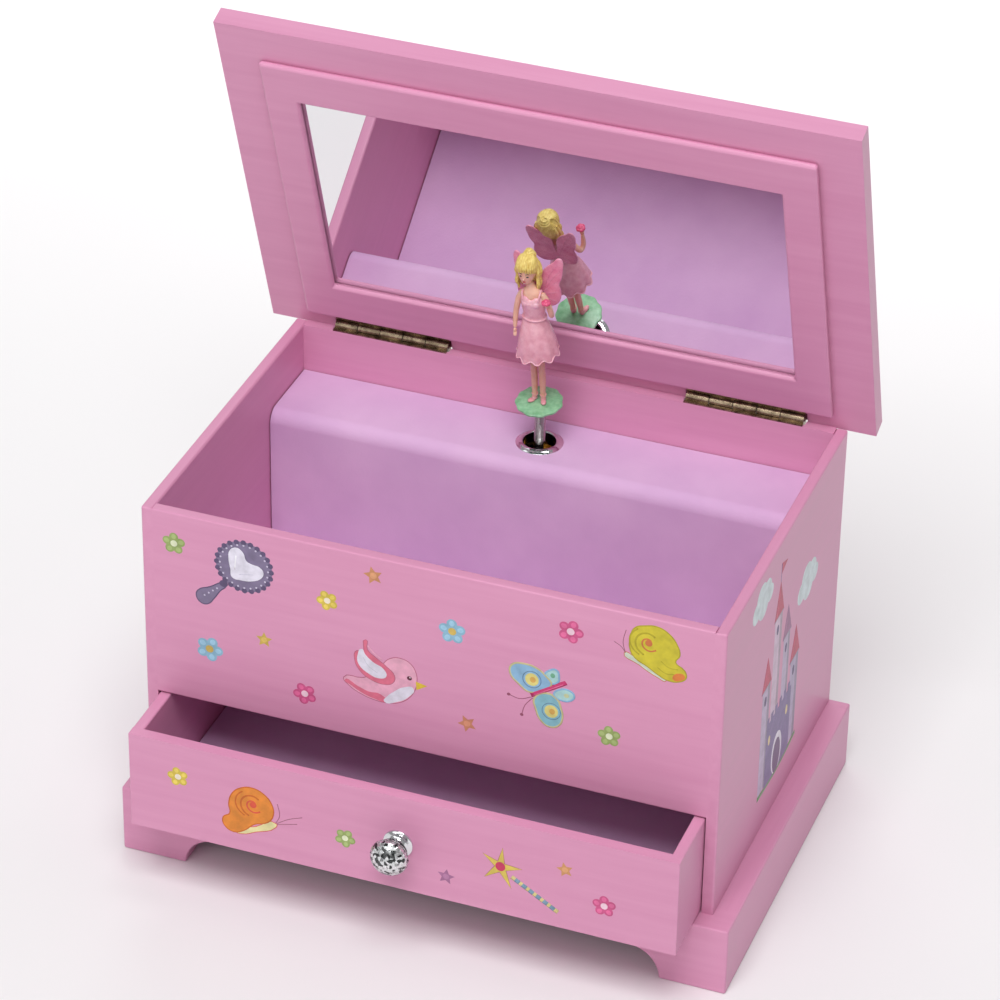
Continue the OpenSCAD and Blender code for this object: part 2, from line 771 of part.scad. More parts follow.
module comb_screws() {
    y0 = comb_y0;
    color(steel) for (y = [y0 + 1.9, y0 + 6.5]) {
        rod_z(0.9, spindle_x + cylinder_r + 11.3, y, mech_z - 4.8, mech_z + 0.7);
        rod_z(1.8, spindle_x + cylinder_r + 11.3, y, mech_z + 0.6, mech_z + 1.6);
    }
}

module governor_wheel() {
    color(brass) {
        rod_y(0.8, governor_x, governor_z, front_plate_y, plate_y + plate_t);
        gear_on_y(governor_x, governor_z, gear_y + gear_t)
            spur_gear(pinion_teeth, gear_module, gear_t, 165 + governor_angle);
        gear_on_y(governor_x, governor_z, worm_y + 0.8) spur_gear(10, 0.56, 1.6);
    }
}

module governor_fan() {
    color(steel) {
        rod_z(0.5, worm_x, worm_y, plate_z0 - 1.5, mech_z - 2);
        rod_z(worm_r - 0.4, worm_x, worm_y, governor_z - 3, governor_z + 3);
        for (i = [-2 : 2]) rod_z(worm_r, worm_x, worm_y, governor_z + i - 0.2, governor_z + i + 0.2);
        board(worm_x - 3.4, worm_x + 3.4, worm_y - 0.25, worm_y + 0.25, plate_z0, plate_z0 + 4.5);
    }
}

module governor_frame() {
    top_z = mech_z - 3.2;
    color(brass) difference() {
        union() {
            board(worm_x - 1.2, worm_x + 2.4, worm_y - 1.5, plate_y, top_z, top_z + 1.2);
            board(worm_x - 1.2, worm_x + 2.4, worm_y - 1.5, plate_y, plate_z0 - 1.7, plate_z0 - 0.5);
            board(worm_x - 1.2, worm_x + 2.4, plate_y - 1, plate_y, plate_z0 - 1.7, top_z + 1.2);
        }
        rod_z(0.5 + bush_gap, worm_x, worm_y, top_z - 1, top_z + 2);
        rod_z(0.5 + bush_gap, worm_x, worm_y, plate_z0 - 3, plate_z0);
    }
}

front_panel();
back_panel();
left_side_panel();
right_side_panel();
compartment_floor();
base_board();
plinth_front_rail();
plinth_left_rail();
plinth_right_rail();
plinth_back_rail();
tray_lining();
music_deck();
grommet();
lid_board();
mirror_frame();
mirror();
left_hinge_case_leaf();
right_hinge_case_leaf();
left_hinge_lid_leaf();
right_hinge_lid_leaf();
left_hinge_pin();
right_hinge_pin();
case_hinge_screws();
lid_hinge_screws();
drawer_front();
drawer_left_side();
drawer_right_side();
drawer_back();
drawer_bottom();
drawer_lining();
knob_crystal();
knob_collar();
knob_screw();
coil_spring();
spring_socket();
dancer_stand();
dancer_body();
dancer_wings();
spindle();
spindle_gear();
spindle_bracket();
movement_bedplate();
movement_spacers();
movement_screws();
movement_front_plate();
spring_housing();
mainspring();
winding_arbor();
winding_key();
drive_gear();
melody_cylinder();
cylinder_gear();
crown_wheel();
comb();
comb_block();
comb_screws();
governor_wheel();
governor_fan();
governor_frame();
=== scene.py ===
"""The looks of a ballerina jewellery box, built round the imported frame."""
import json
import math

import bmesh
import bpy
from mathutils import Euler, Matrix, Vector


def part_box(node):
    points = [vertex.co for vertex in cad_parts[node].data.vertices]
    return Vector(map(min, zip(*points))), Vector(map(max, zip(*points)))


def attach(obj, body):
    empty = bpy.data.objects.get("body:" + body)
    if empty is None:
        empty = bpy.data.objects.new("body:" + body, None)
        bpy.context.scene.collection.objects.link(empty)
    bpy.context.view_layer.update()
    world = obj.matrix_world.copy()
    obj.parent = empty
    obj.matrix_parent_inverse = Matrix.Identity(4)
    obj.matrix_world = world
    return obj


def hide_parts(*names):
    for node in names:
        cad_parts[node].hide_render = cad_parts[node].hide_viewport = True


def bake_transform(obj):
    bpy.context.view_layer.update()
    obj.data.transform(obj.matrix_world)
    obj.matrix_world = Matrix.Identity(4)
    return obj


MM = 0.001
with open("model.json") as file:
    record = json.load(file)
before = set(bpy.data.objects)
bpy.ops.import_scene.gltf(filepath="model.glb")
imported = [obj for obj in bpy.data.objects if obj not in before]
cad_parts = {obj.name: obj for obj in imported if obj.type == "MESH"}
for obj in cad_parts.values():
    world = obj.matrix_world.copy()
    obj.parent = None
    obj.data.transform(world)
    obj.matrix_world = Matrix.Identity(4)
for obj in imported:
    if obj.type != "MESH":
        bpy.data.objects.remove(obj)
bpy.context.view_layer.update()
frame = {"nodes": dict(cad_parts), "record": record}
bpy.ops.object.select_all(action="DESELECT")


# ---- Camera, lights and floor ----

CAMERA_PLACE = (0.4102, -1.1201, 0.8935)
CAMERA_TURN = (57.3054, -0.8959, 20.4507)
CAMERA_LENS = 155.3
CAMERA_SHIFT = (-0.0033, 0.004)
SENSOR_WIDTH = 36
ROOM_TINT = (1.0, 0.985, 0.99, 1)
ROOM_LIGHT = 0.35
STUDIO_AIM = (0, 0, 0.1)
SOFTBOXES = [
    ("key_softbox", (0.16, -0.72, 1.38), STUDIO_AIM, (0.8, 0.7), 14.6),
    ("front_softbox", (-0.5, -1.5, 0.8), STUDIO_AIM, (1.2, 1.0), 4),
    ("backdrop_softbox", (-0.25, 1.3, 1.3), (-0.35, 2.2, 0), (1.6, 0.8), 44),
]
FLOOR_WIDTH = 12


def add_camera():
    data = bpy.data.cameras.new("view_camera")
    data.lens = CAMERA_LENS
    data.sensor_width = SENSOR_WIDTH
    data.shift_x, data.shift_y = CAMERA_SHIFT
    camera = bpy.data.objects.new("view_camera", data)
    camera.location = CAMERA_PLACE
    camera.rotation_euler = Euler([math.radians(a) for a in CAMERA_TURN])
    bpy.context.scene.collection.objects.link(camera)
    bpy.context.scene.camera = camera


def add_softbox(name, place, target, size, power):
    data = bpy.data.lights.new(name, "AREA")
    data.shape = "RECTANGLE"
    data.size, data.size_y = size
    data.energy = power
    lamp = bpy.data.objects.new(name, data)
    lamp.location = place
    lamp.rotation_euler = (Vector(target) - Vector(place)).to_track_quat("-Z", "Y").to_euler()
    bpy.context.scene.collection.objects.link(lamp)


def add_studio():
    world = bpy.data.worlds.new("studio_white")
    world.use_nodes = True
    background = world.node_tree.nodes["Background"]
    background.inputs["Color"].default_value = ROOM_TINT
    background.inputs["Strength"].default_value = ROOM_LIGHT
    bpy.context.scene.world = world
    for softbox in SOFTBOXES:
        add_softbox(*softbox)
    bpy.context.scene.view_settings.view_transform = "Standard"


def add_floor(material):
    bpy.ops.mesh.primitive_grid_add(x_subdivisions=8, y_subdivisions=8, size=FLOOR_WIDTH, location=(0, 0, 0))
    floor = bpy.context.active_object
    floor.name = "studio_floor"
    floor.data.materials.append(material)
    bpy.ops.object.select_all(action="DESELECT")


# ---- Shader effects that several materials share ----

def new_group(name, inputs, outputs):
    """An empty node group with named sockets; inputs and outputs are (name, type, value) rows."""
    group = bpy.data.node_groups.new(name, "ShaderNodeTree")
    for label, kind, value in inputs:
        socket = group.interface.new_socket(label, in_out="INPUT", socket_type=kind)
        socket.default_value = value
    for label, kind in outputs:
        group.interface.new_socket(label, in_out="OUTPUT", socket_type=kind)
    ends = group.nodes.new("NodeGroupInput"), group.nodes.new("NodeGroupOutput")
    return group, ends[0].outputs, ends[1].inputs


def add_node(tree, kind, links=(), **settings):
    """A node with settings; links are (input, source socket or value) rows."""
    node = tree.nodes.new(kind)
    for key, value in settings.items():
        setattr(node, key, value)
    for label, source in links:
        if isinstance(source, bpy.types.NodeSocket):
            tree.links.new(source, node.inputs[label])
        else:
            node.inputs[label].default_value = source
    return node


def make_grain_group():
    """Long soft streaks and a fine pore, for painted wood and drawn metal."""
    group, given, made = new_group(
        "grain",
        [("Stretch", "NodeSocketVector", (30, 400, 400)), ("Pore Scale", "NodeSocketFloat", 1500)],
        [("Streaks", "NodeSocketFloat"), ("Height", "NodeSocketFloat")])
    place = add_node(group, "ShaderNodeTexCoord").outputs["Object"]
    stretched = add_node(group, "ShaderNodeMapping", [("Vector", place), ("Scale", given["Stretch"])])
    streaks = add_node(group, "ShaderNodeTexNoise", [
        ("Vector", stretched.outputs["Vector"]), ("Scale", 1.0), ("Detail", 4), ("Roughness", 0.6)])
    pores = add_node(group, "ShaderNodeTexNoise", [
        ("Vector", place), ("Scale", given["Pore Scale"]), ("Detail", 2)])
    height = add_node(group, "ShaderNodeMix", [
        ("Factor", 0.35), ("A", streaks.outputs["Fac"]), ("B", pores.outputs["Fac"])])
    group.links.new(streaks.outputs["Fac"], made["Streaks"])
    group.links.new(height.outputs["Result"], made["Height"])
    return group


def make_mottle_group():
    """Cloudy patches of two sizes, for colour and gloss that vary across a surface."""
    group, given, made = new_group(
        "mottle",
        [("Scale", "NodeSocketFloat", 60)],
        [("Patches", "NodeSocketFloat"), ("Specks", "NodeSocketFloat")])
    place = add_node(group, "ShaderNodeTexCoord").outputs["Object"]
    patches = add_node(group, "ShaderNodeTexNoise", [
        ("Vector", place), ("Scale", given["Scale"]), ("Detail", 3), ("Roughness", 0.55)])
    finer = add_node(group, "ShaderNodeMath", [(0, given["Scale"]), (1, 14.0)], operation="MULTIPLY")
    specks = add_node(group, "ShaderNodeTexNoise", [
        ("Vector", place), ("Scale", finer.outputs["Value"]), ("Detail", 2)])
    group.links.new(patches.outputs["Fac"], made["Patches"])
    group.links.new(specks.outputs["Fac"], made["Specks"])
    return group


def new_material(name, settings):
    """A material with a Principled shader whose constant sockets are set."""
    material = bpy.data.materials.new(name)
    material.use_nodes = True
    tree = material.node_tree
    shader = tree.nodes["Principled BSDF"]
    for label, value in settings.items():
        shader.inputs[label].default_value = value
    return material, tree, shader


def add_group(tree, group, **values):
    node = add_node(tree, "ShaderNodeGroup", node_tree=group)
    for label, value in values.items():
        node.inputs[label.replace("_", " ")].default_value = value
    return node.outputs


MASK_LOW = 0.3
MASK_HIGH = 0.7


def set_colour(tree, shader, mask, dark, light, high=MASK_HIGH):
    """A base colour that runs from dark to light as the mask rises."""
    ramp = add_node(tree, "ShaderNodeValToRGB", [("Fac", mask)])
    for stop, place, colour in zip(ramp.color_ramp.elements, (MASK_LOW, high), (dark, light)):
        stop.position = place
        stop.color = (*colour, 1)
    tree.links.new(ramp.outputs["Color"], shader.inputs["Base Color"])


def blend_values(tree, mask, at_low, at_high):
    """A number that runs from at_low to at_high as the mask rises."""
    return add_node(tree, "ShaderNodeMapRange", [
        ("Value", mask), ("From Min", MASK_LOW), ("From Max", MASK_HIGH),
        ("To Min", at_low), ("To Max", at_high)]).outputs["Result"]


def set_roughness(tree, shader, mask, smooth, rough):
    tree.links.new(blend_values(tree, mask, smooth, rough), shader.inputs["Roughness"])


def add_bump(tree, shader, height, strength, distance=0.1 * MM):
    bump = add_node(tree, "ShaderNodeBump", [
        ("Height", height), ("Strength", strength), ("Distance", distance)])
    tree.links.new(bump.outputs["Normal"], shader.inputs["Normal"])


def mottle_surface(tree, shader, scale, dark, light, smooth, rough, bump=0.0):
    """Colour from broad patches; polish, and a bump if one is given, from fine specks."""
    mottle = add_group(tree, MOTTLE, Scale=scale)
    set_colour(tree, shader, mottle["Patches"], dark, light)
    set_roughness(tree, shader, mottle["Specks"], smooth, rough)
    if bump:
        add_bump(tree, shader, mottle["Specks"], bump)


def srgb(red, green, blue):
    """A colour given in display values from 0 to 255."""
    return tuple((c / 255 / 12.92) if c <= 10 else ((c / 255 + 0.055) / 1.055) ** 2.4
                 for c in (red, green, blue))


# ---- Materials ----

GRAIN = make_grain_group()
MOTTLE = make_mottle_group()
GRAIN_ALONG = {"x": (14, 260, 260), "y": (260, 14, 260), "z": (260, 260, 14)}


CLEAR_LACQUER = {"Coat Weight": 0.14, "Coat Roughness": 0.18, "Specular IOR Level": 0.3}


def painted_wood(along):
    """Satin pink lacquer with the grain of the board showing faintly through it."""
    material, tree, shader = new_material(f"pink_lacquer_grain_{along}", CLEAR_LACQUER)
    grain = add_group(tree, GRAIN, Stretch=GRAIN_ALONG[along], Pore_Scale=1400)
    set_colour(tree, shader, grain["Streaks"], PAINT_DARK, PAINT_LIGHT)
    set_roughness(tree, shader, grain["Streaks"], 0.36, 0.46)
    add_bump(tree, shader, grain["Height"], 0.18, 0.12 * MM)
    return material


def flock(name, dark, light):
    """Short velvety fibre on card: matt, with soft clouds where the pile leans."""
    material, tree, shader = new_material(name, {
        "Sheen Weight": 0.35, "Sheen Roughness": 0.5, "Sheen Tint": (0.95, 0.85, 1, 1),
        "Specular IOR Level": 0.2, "Roughness": 0.9})
    mottle = add_group(tree, MOTTLE, Scale=35)
    set_colour(tree, shader, mottle["Patches"], dark, light)
    fibres = add_group(tree, GRAIN, Stretch=(900, 900, 900), Pore_Scale=3200)
    add_bump(tree, shader, fibres["Height"], 0.5, 0.2 * MM)
    return material


def metal(name, dark, light, smooth, rough, scale=120, bump=0.08):
    """Metal, or silvered glass, whose colour and polish vary in soft patches."""
    material, tree, shader = new_material(name, {"Metallic": 1.0})
    mottle_surface(tree, shader, scale, dark, light, smooth, rough, bump)
    return material


def pearl_plastic(name, dark, light, scale=500, rough=0.34):
    """Moulded plastic with a pearly sheen."""
    material, tree, shader = new_material(name, {
        "Coat Weight": 0.3, "Coat Roughness": 0.2, "Subsurface Weight": 0.12,
        "Subsurface Scale": 0.002})
    mottle_surface(tree, shader, scale, dark, light, rough - 0.06, rough + 0.08, 0.1)
    return material


def blonde_hair():
    """Painted blonde hair with fine combed lines."""
    material, tree, shader = new_material("blonde_hair", {
        "Coat Weight": 0.25, "Coat Roughness": 0.25, "Roughness": 0.42})
    strands = add_group(tree, GRAIN, Stretch=(1500, 420, 900), Pore_Scale=2600)
    set_colour(tree, shader, strands["Streaks"], srgb(204, 168, 72), srgb(242, 222, 134))
    add_bump(tree, shader, strands["Height"], 0.6, 0.4 * MM)
    return material


def printed_ink():
    """Water-based inks in each shape's own colour, pooled unevenly, under the clear lacquer."""
    material, tree, shader = new_material("printed_ink", CLEAR_LACQUER)
    ink = add_node(tree, "ShaderNodeAttribute", attribute_name="ink").outputs["Color"]
    mottle = add_group(tree, MOTTLE, Scale=260)
    wash = blend_values(tree, mottle["Patches"], 0.82, 1.1)
    pooled = add_node(tree, "ShaderNodeHueSaturation", [("Color", ink), ("Value", wash)])
    tree.links.new(pooled.outputs["Color"], shader.inputs["Base Color"])
    set_roughness(tree, shader, mottle["Specks"], 0.36, 0.48)
    add_bump(tree, shader, mottle["Specks"], 0.08)
    return material


def crinkled_foil():
    """Silver foil crushed into small facets; each facet's colour is set from near black to bright, painted
    glints and painted shade for facets that catch or miss the light.
    """
    material, tree, shader = new_material("crinkled_foil", {"Metallic": 0.9})
    place = add_node(tree, "ShaderNodeTexCoord").outputs["Object"]
    facets_and_painted_glints = add_node(tree, "ShaderNodeTexVoronoi", [("Vector", place), ("Scale", 1000)]).outputs
    # Painted glints and painted shade: facet by facet the colour runs from near black to bright, as if each
    # facet caught or missed the light.
    set_colour(tree, shader, facets_and_painted_glints["Color"], (0.03, 0.035, 0.035), (0.92, 0.95, 0.94), 0.5)
    set_roughness(tree, shader, facets_and_painted_glints["Distance"], 0.12, 0.3)
    add_bump(tree, shader, facets_and_painted_glints["Color"], 0.7, 0.4 * MM)
    return material


def clear_crystal():
    """Clear acrylic, cut in facets, with the faintest polishing marks."""
    material, tree, shader = new_material("clear_crystal", {"Transmission Weight": 1.0, "IOR": 1.52})
    mottle_surface(tree, shader, 400, (0.95, 0.96, 0.98), (0.99, 0.99, 1.0), 0.0, 0.03)
    return material


def studio_white():
    material, tree, shader = new_material("studio_white", {"Roughness": 0.9, "Specular IOR Level": 0.1})
    mottle = add_group(tree, MOTTLE, Scale=3)
    set_colour(tree, shader, mottle["Patches"], (0.87, 0.865, 0.87), (0.89, 0.885, 0.89))
    return material


PAINT_DARK = srgb(214, 146, 180)
PAINT_LIGHT = srgb(220, 154, 187)
PAINT = {axis: painted_wood(axis) for axis in "xyz"}
LILAC = flock("lilac_flock", srgb(210, 170, 211), srgb(221, 183, 220))
OLD_BRASS = metal("antique_brass", srgb(92, 78, 62), srgb(176, 158, 132), 0.16, 0.4, 330, 0.35)
CHROME = metal("polished_chrome", (0.72, 0.73, 0.75), (0.82, 0.83, 0.85), 0.05, 0.12)
NICKEL = metal("nickel_plate", (0.55, 0.54, 0.53), (0.68, 0.67, 0.66), 0.16, 0.28)
BRASS = metal("movement_brass", srgb(190, 150, 80), srgb(222, 186, 112), 0.2, 0.34)
BLUED_STEEL = metal("blued_steel", srgb(60, 70, 100), srgb(86, 96, 126), 0.2, 0.34)
MIRROR = metal("silvered_glass", (0.86, 0.87, 0.88), (0.9, 0.91, 0.92), 0.0, 0.012, 9, bump=0)
MINT = pearl_plastic("mint_pearl", srgb(112, 172, 126), srgb(150, 202, 160))
SKIN = pearl_plastic("painted_skin", srgb(224, 168, 144), srgb(238, 190, 168), 300, 0.42)
DRESS = pearl_plastic("pearl_pink_dress", srgb(226, 156, 174), srgb(244, 190, 202), 420, 0.3)
SHOE = pearl_plastic("pink_slipper", srgb(222, 150, 158), srgb(236, 176, 182), 400, 0.34)
WING = pearl_plastic("pearl_pink_wing", srgb(222, 122, 156), srgb(240, 160, 186), 380, 0.28)
POSY = pearl_plastic("rose_pink_posy", srgb(214, 62, 110), srgb(234, 96, 140), 600, 0.36)
LIPS = pearl_plastic("painted_lips", srgb(186, 76, 84), srgb(200, 92, 98), 900, 0.4)
EYES = pearl_plastic("painted_eyes", srgb(64, 48, 52), srgb(84, 62, 60), 900, 0.3)
HAIR = blonde_hair()
INK = printed_ink()
CRYSTAL = clear_crystal()
FOIL = crinkled_foil()
add_camera()
add_studio()
add_floor(studio_white())


# ---- Making pieces ----

SHARP = math.radians(25)
SAME_PLANE = math.radians(0.5)
SAME_POINT = 2e-6
TOUCHING = 1e-7


def around(count):
    """Evenly spaced angles for one whole turn."""
    return [2 * math.pi * i / count for i in range(count)]


def work_on(piece):
    """Selects one piece alone and makes it active."""
    bpy.ops.object.select_all(action="DESELECT")
    piece.select_set(True)
    bpy.context.view_layer.objects.active = piece


def open_mesh(piece):
    """Opens one piece in edit mode with all of it selected."""
    work_on(piece)
    bpy.ops.object.mode_set(mode="EDIT")
    bpy.ops.mesh.select_all(action="SELECT")


def close_mesh():
    bpy.ops.object.mode_set(mode="OBJECT")


def choose_edges(piece, wanted):
    """In edit mode, selects the sharp edges whose middle passes the test."""
    bpy.ops.mesh.select_mode(type="EDGE")
    bpy.ops.mesh.select_all(action="DESELECT")
    mesh = bmesh.from_edit_mesh(piece.data)
    for edge in mesh.edges:
        sharp = len(edge.link_faces) == 2 and edge.calc_face_angle() > SHARP
        middle = (edge.verts[0].co + edge.verts[1].co) / 2
        edge.select_set(sharp and wanted(middle))
    mesh.select_flush_mode()
    bmesh.update_edit_mesh(piece.data)


def cad_copy(name, node):
    """A copy of a CAD node's mesh with its triangles merged into whole faces."""
    piece = bpy.data.objects.new(name, frame["nodes"][node].data.copy())
    piece.data.materials.clear()
    bpy.context.scene.collection.objects.link(piece)
    open_mesh(piece)
    bpy.ops.mesh.remove_doubles(threshold=SAME_POINT)
    bpy.ops.mesh.dissolve_limited(angle_limit=SAME_PLANE)
    close_mesh()
    return piece


def smooth(piece, angle=35):
    """Smooth shading that keeps the broad faces flat."""
    work_on(piece)
    bpy.ops.object.shade_smooth_by_angle(angle=math.radians(angle))
    weighted = piece.modifiers.new("flat_faces", "WEIGHTED_NORMAL")
    weighted.keep_sharp = True
    bpy.ops.object.modifier_apply(modifier=weighted.name)


def settle(piece, body, material, nodes):
    """Gives a finished piece its material and its body, and hides the nodes that it stands for."""
    piece.data.materials.clear()
    piece.data.materials.append(material)
    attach(piece, body)
    if nodes:
        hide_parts(*nodes)
    bpy.ops.object.select_all(action="DESELECT")


def weld(piece):
    """Joins loose seams and turns every face outwards."""
    open_mesh(piece)
    bpy.ops.mesh.remove_doubles(threshold=TOUCHING)
    bpy.ops.mesh.normals_make_consistent(inside=False)
    close_mesh()


def curve_piece(name, path, closed, smooth_path, **settings):
    """A mesh made from a curve through points given in millimetres as (x, y, z, radius)."""
    data = bpy.data.curves.new(name, "CURVE")
    for key, value in settings.items():
        setattr(data, key, value)
    spline = data.splines.new("BEZIER")
    spline.bezier_points.add(len(path) - 1)
    kind = "AUTO" if smooth_path else "VECTOR"
    for point, (x, y, z, radius) in zip(spline.bezier_points, path):
        point.co = Vector((x, y, z)) * MM
        point.radius = radius
        point.handle_left_type = kind
        point.handle_right_type = kind
    spline.use_cyclic_u = closed
    piece = bpy.data.objects.new(name, data)
    bpy.context.scene.collection.objects.link(piece)
    work_on(piece)
    bpy.ops.object.convert(target="MESH")
    piece = bpy.context.active_object
    weld(piece)
    return piece


def tube(name, path, smooth_path=True, closed=False, sides=4, steps=6):
    """A round bar along a path of (x, y, z, radius) points."""
    return curve_piece(name, path, closed, smooth_path, dimensions="3D", bevel_depth=MM,
                       bevel_resolution=sides, resolution_u=steps, use_fill_caps=not closed)


def subdivide(piece, levels):
    """Rounds a piece with applied subdivision."""
    work_on(piece)
    modifier = piece.modifiers.new("rounded", "SUBSURF")
    modifier.levels = levels
    modifier.render_levels = levels
    bpy.ops.object.modifier_apply(modifier=modifier.name)


def ringed(name, sides, rings, levels=0):
    """A solid built up ring by ring from (x, y, z, half width, half depth) rows."""
    x, y, z, wide, deep = rings[0]
    bpy.ops.object.select_all(action="DESELECT")
    bpy.ops.mesh.primitive_circle_add(vertices=sides, radius=MM, fill_type="NGON")
    piece = bpy.context.active_object
    piece.name = name
    open_mesh(piece)
    bpy.ops.transform.resize(value=(wide, deep, 1), center_override=(0, 0, 0))
    bpy.ops.transform.translate(value=(x * MM, y * MM, z * MM))
    for nx, ny, nz, new_wide, new_deep in rings[1:]:
        move = ((nx - x) * MM, (ny - y) * MM, (nz - z) * MM)
        bpy.ops.mesh.extrude_region_move(TRANSFORM_OT_translate={"value": move})
        x, y, z = nx, ny, nz
        bpy.ops.transform.resize(value=(new_wide / wide, new_deep / deep, 1),
                                 center_override=(x * MM, y * MM, z * MM))
        wide, deep = new_wide, new_deep
    bpy.ops.mesh.select_all(action="SELECT")
    bpy.ops.mesh.normals_make_consistent(inside=False)
    close_mesh()
    if levels:
        subdivide(piece, levels)
    return piece


def lathed(name, sides, profile):
    """A round solid from (height, radius) pairs."""
    return ringed(name, sides, [(0, 0, height, radius, radius) for height, radius in profile])


def ball(name, place, radii, turn=(0, 0, 0)):
    """A rounded form: (x, y, z) place and radii in millimetres, turned by degrees."""
    bpy.ops.object.select_all(action="DESELECT")
    bpy.ops.mesh.primitive_ico_sphere_add(subdivisions=2, radius=MM)
    piece = bpy.context.active_object
    piece.name = name
    subdivide(piece, 1)
    size = Matrix.Diagonal((*radii, 1))
    turned = Euler([math.radians(a) for a in turn]).to_matrix().to_4x4()
    piece.data.transform(Matrix.Translation(Vector(place) * MM) @ turned @ size)
    return piece


def joined(name, parts):
    """One piece from several."""
    bpy.ops.object.select_all(action="DESELECT")
    for part in parts:
        part.select_set(True)
    bpy.context.view_layer.objects.active = parts[0]
    bpy.ops.object.join()
    piece = bpy.context.active_object
    piece.name = name
    bpy.ops.object.select_all(action="DESELECT")
    return piece


def soften(name, node, radius, body, material, wanted=lambda middle: True, segments=3):
    """A CAD node's shape with its edges eased, as sanding and paint leave them."""
    piece = cad_copy(name, node)
    bpy.ops.object.mode_set(mode="EDIT")
    choose_edges(piece, wanted)
    bpy.ops.mesh.bevel(offset=radius, segments=segments, affect="EDGES", clamp_overlap=True)
    close_mesh()
    smooth(piece)
    settle(piece, body, material, [node])


# ---- Wooden case ----

EASED = 0.7 * MM
BACK_EASED = 0.4 * MM
LID_EASED = 0.9 * MM
MOULDED = 1.2 * MM
CARD_EDGE = 0.3 * MM
GLASS_EDGE = 0.15 * MM
METAL_EDGE = 0.12 * MM
SCREW_EDGE = 0.08 * MM
NEAR = 0.1 * MM


def on_face(middle, low, high, faces):
    """Whether an edge lies on one of a box's named faces, such as -x or +z."""
    corners = {"-": low, "+": high}
    return any(abs((middle - corners[side])["xyz".index(axis)]) < NEAR for side, axis in faces)


def wood_piece(node, grain, body="case", butted=(), radius=EASED):
    """A painted board; edges on a butted face stay sharp, so no seam shows there."""
    low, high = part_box(node)
    soften("painted_" + node.removesuffix("_rail"), node, radius, body, PAINT[grain],
           lambda middle: not on_face(middle, low, high, butted))


def build_side_panels():
    """The sides, which cover the ends of the front and back panels."""
    inner_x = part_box("right_side_panel")[0].x
    for side in ("left", "right"):
        node = f"{side}_side_panel"
        low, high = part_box(node)

        def outer(middle, low=low, high=high):
            on_inner_face = abs(abs(middle.x) - inner_x) < NEAR
            on_top = abs(middle.z - high.z) < NEAR
            return middle.z > low.z + NEAR and (on_top or not on_inner_face)

        soften(f"painted_{side}_side", node, EASED, "case", PAINT["y"], outer)


def build_case():
    wood_piece("front_panel", "x", butted=["-x", "+x"])
    wood_piece("back_panel", "x", butted=["-x", "+x"], radius=BACK_EASED)
    build_side_panels()
    wood_piece("compartment_floor", "x")
    wood_piece("base_board", "x")
    wood_piece("plinth_front_rail", "x", butted=["+y"])
    wood_piece("plinth_left_rail", "y", butted=["-y", "+y"])
    wood_piece("plinth_right_rail", "y", butted=["-y", "+y"])
    wood_piece("plinth_back_rail", "x", butted=["-y"])


def build_insert():
    for node in ("music_deck", "tray_lining"):
        soften(f"flocked_{node}", node, CARD_EDGE, "case", LILAC)
    soften("chrome_grommet", "grommet", METAL_EDGE, "case", CHROME)


def build_lid():
    wood_piece("lid_board", "x", "lid", radius=LID_EASED)
    wood_piece("mirror_frame", "x", "lid", radius=MOULDED)
    soften("lid_mirror", "mirror", GLASS_EDGE, "lid", MIRROR)


def build_hinges():
    rows = [(f"{side}_hinge_{part}", body, METAL_EDGE) for side in ("left", "right")
            for part, body in (("case_leaf", "case"), ("lid_leaf", "lid"), ("pin", "case"))]
    rows += [("case_hinge_screws", "case", SCREW_EDGE), ("lid_hinge_screws", "lid", SCREW_EDGE)]
    for node, body, radius in rows:
        soften(f"brass_{node}", node, radius, body, OLD_BRASS, segments=2)


def build_drawer():
    wood_piece("drawer_front", "x", "drawer", butted=["+y"])
    wood_piece("drawer_left_side", "y", "drawer", butted=["-y"])
    wood_piece("drawer_right_side", "y", "drawer", butted=["-y"])
    wood_piece("drawer_back", "x", "drawer", butted=["-x", "+x"])
    wood_piece("drawer_bottom", "x", "drawer")
    soften("flocked_drawer_lining", "drawer_lining", CARD_EDGE, "drawer", LILAC)


# ---- Movement, hidden under the deck ----

MOVEMENT_METALS = {
    BRASS: ["spindle_gear", "spindle_bracket", "movement_bedplate", "movement_front_plate",
            "winding_key", "drive_gear", "melody_cylinder", "cylinder_gear", "crown_wheel",
            "comb_block", "governor_wheel", "governor_frame"],
    NICKEL: ["spindle", "movement_spacers", "movement_screws", "spring_housing", "winding_arbor",
             "comb", "comb_screws", "governor_fan", "spring_socket", "knob_screw"],
    BLUED_STEEL: ["mainspring"],
}


def dress_movement():
    for material, nodes in MOVEMENT_METALS.items():
        for node in nodes:
            mesh = frame["nodes"][node].data
            mesh.materials.clear()
            mesh.materials.append(material)


# ---- Crystal knob ----

GEM_SIDES = 16
GEM_GIRDLE = (8.5, 6.6)
GEM_STEPS = [(4.5, 4.4), (6.4, 5.9), (7.6, 6.6), GEM_GIRDLE, (9.7, 6.15), (10.8, 5.3), (11.7, 4.1),
             (12.4, 2.7), (12.9, 1.2)]


def cut_gem():
    """A faceted knob: each step but the girdle is turned by half a side from the one before."""
    gem = lathed("crystal_knob", GEM_SIDES, GEM_STEPS[:1])
    open_mesh(gem)
    level, radius = GEM_STEPS[0]
    for height, reach in GEM_STEPS[1:]:
        bpy.ops.mesh.extrude_region_move(
            TRANSFORM_OT_translate={"value": (0, 0, (height - level) * MM)})
        middle = (0, 0, height * MM)
        bpy.ops.transform.resize(value=(reach / radius, reach / radius, 1), center_override=middle)
        if (height, reach) != GEM_GIRDLE:
            bpy.ops.transform.rotate(value=math.pi / GEM_SIDES, orient_axis="Z", center_override=middle)
        level, radius = height, reach
    bpy.ops.mesh.select_all(action="SELECT")
    bpy.ops.mesh.quads_convert_to_tris(quad_method="SHORTEST_DIAGONAL")
    bpy.ops.mesh.normals_make_consistent(inside=False)
    close_mesh()
    return gem


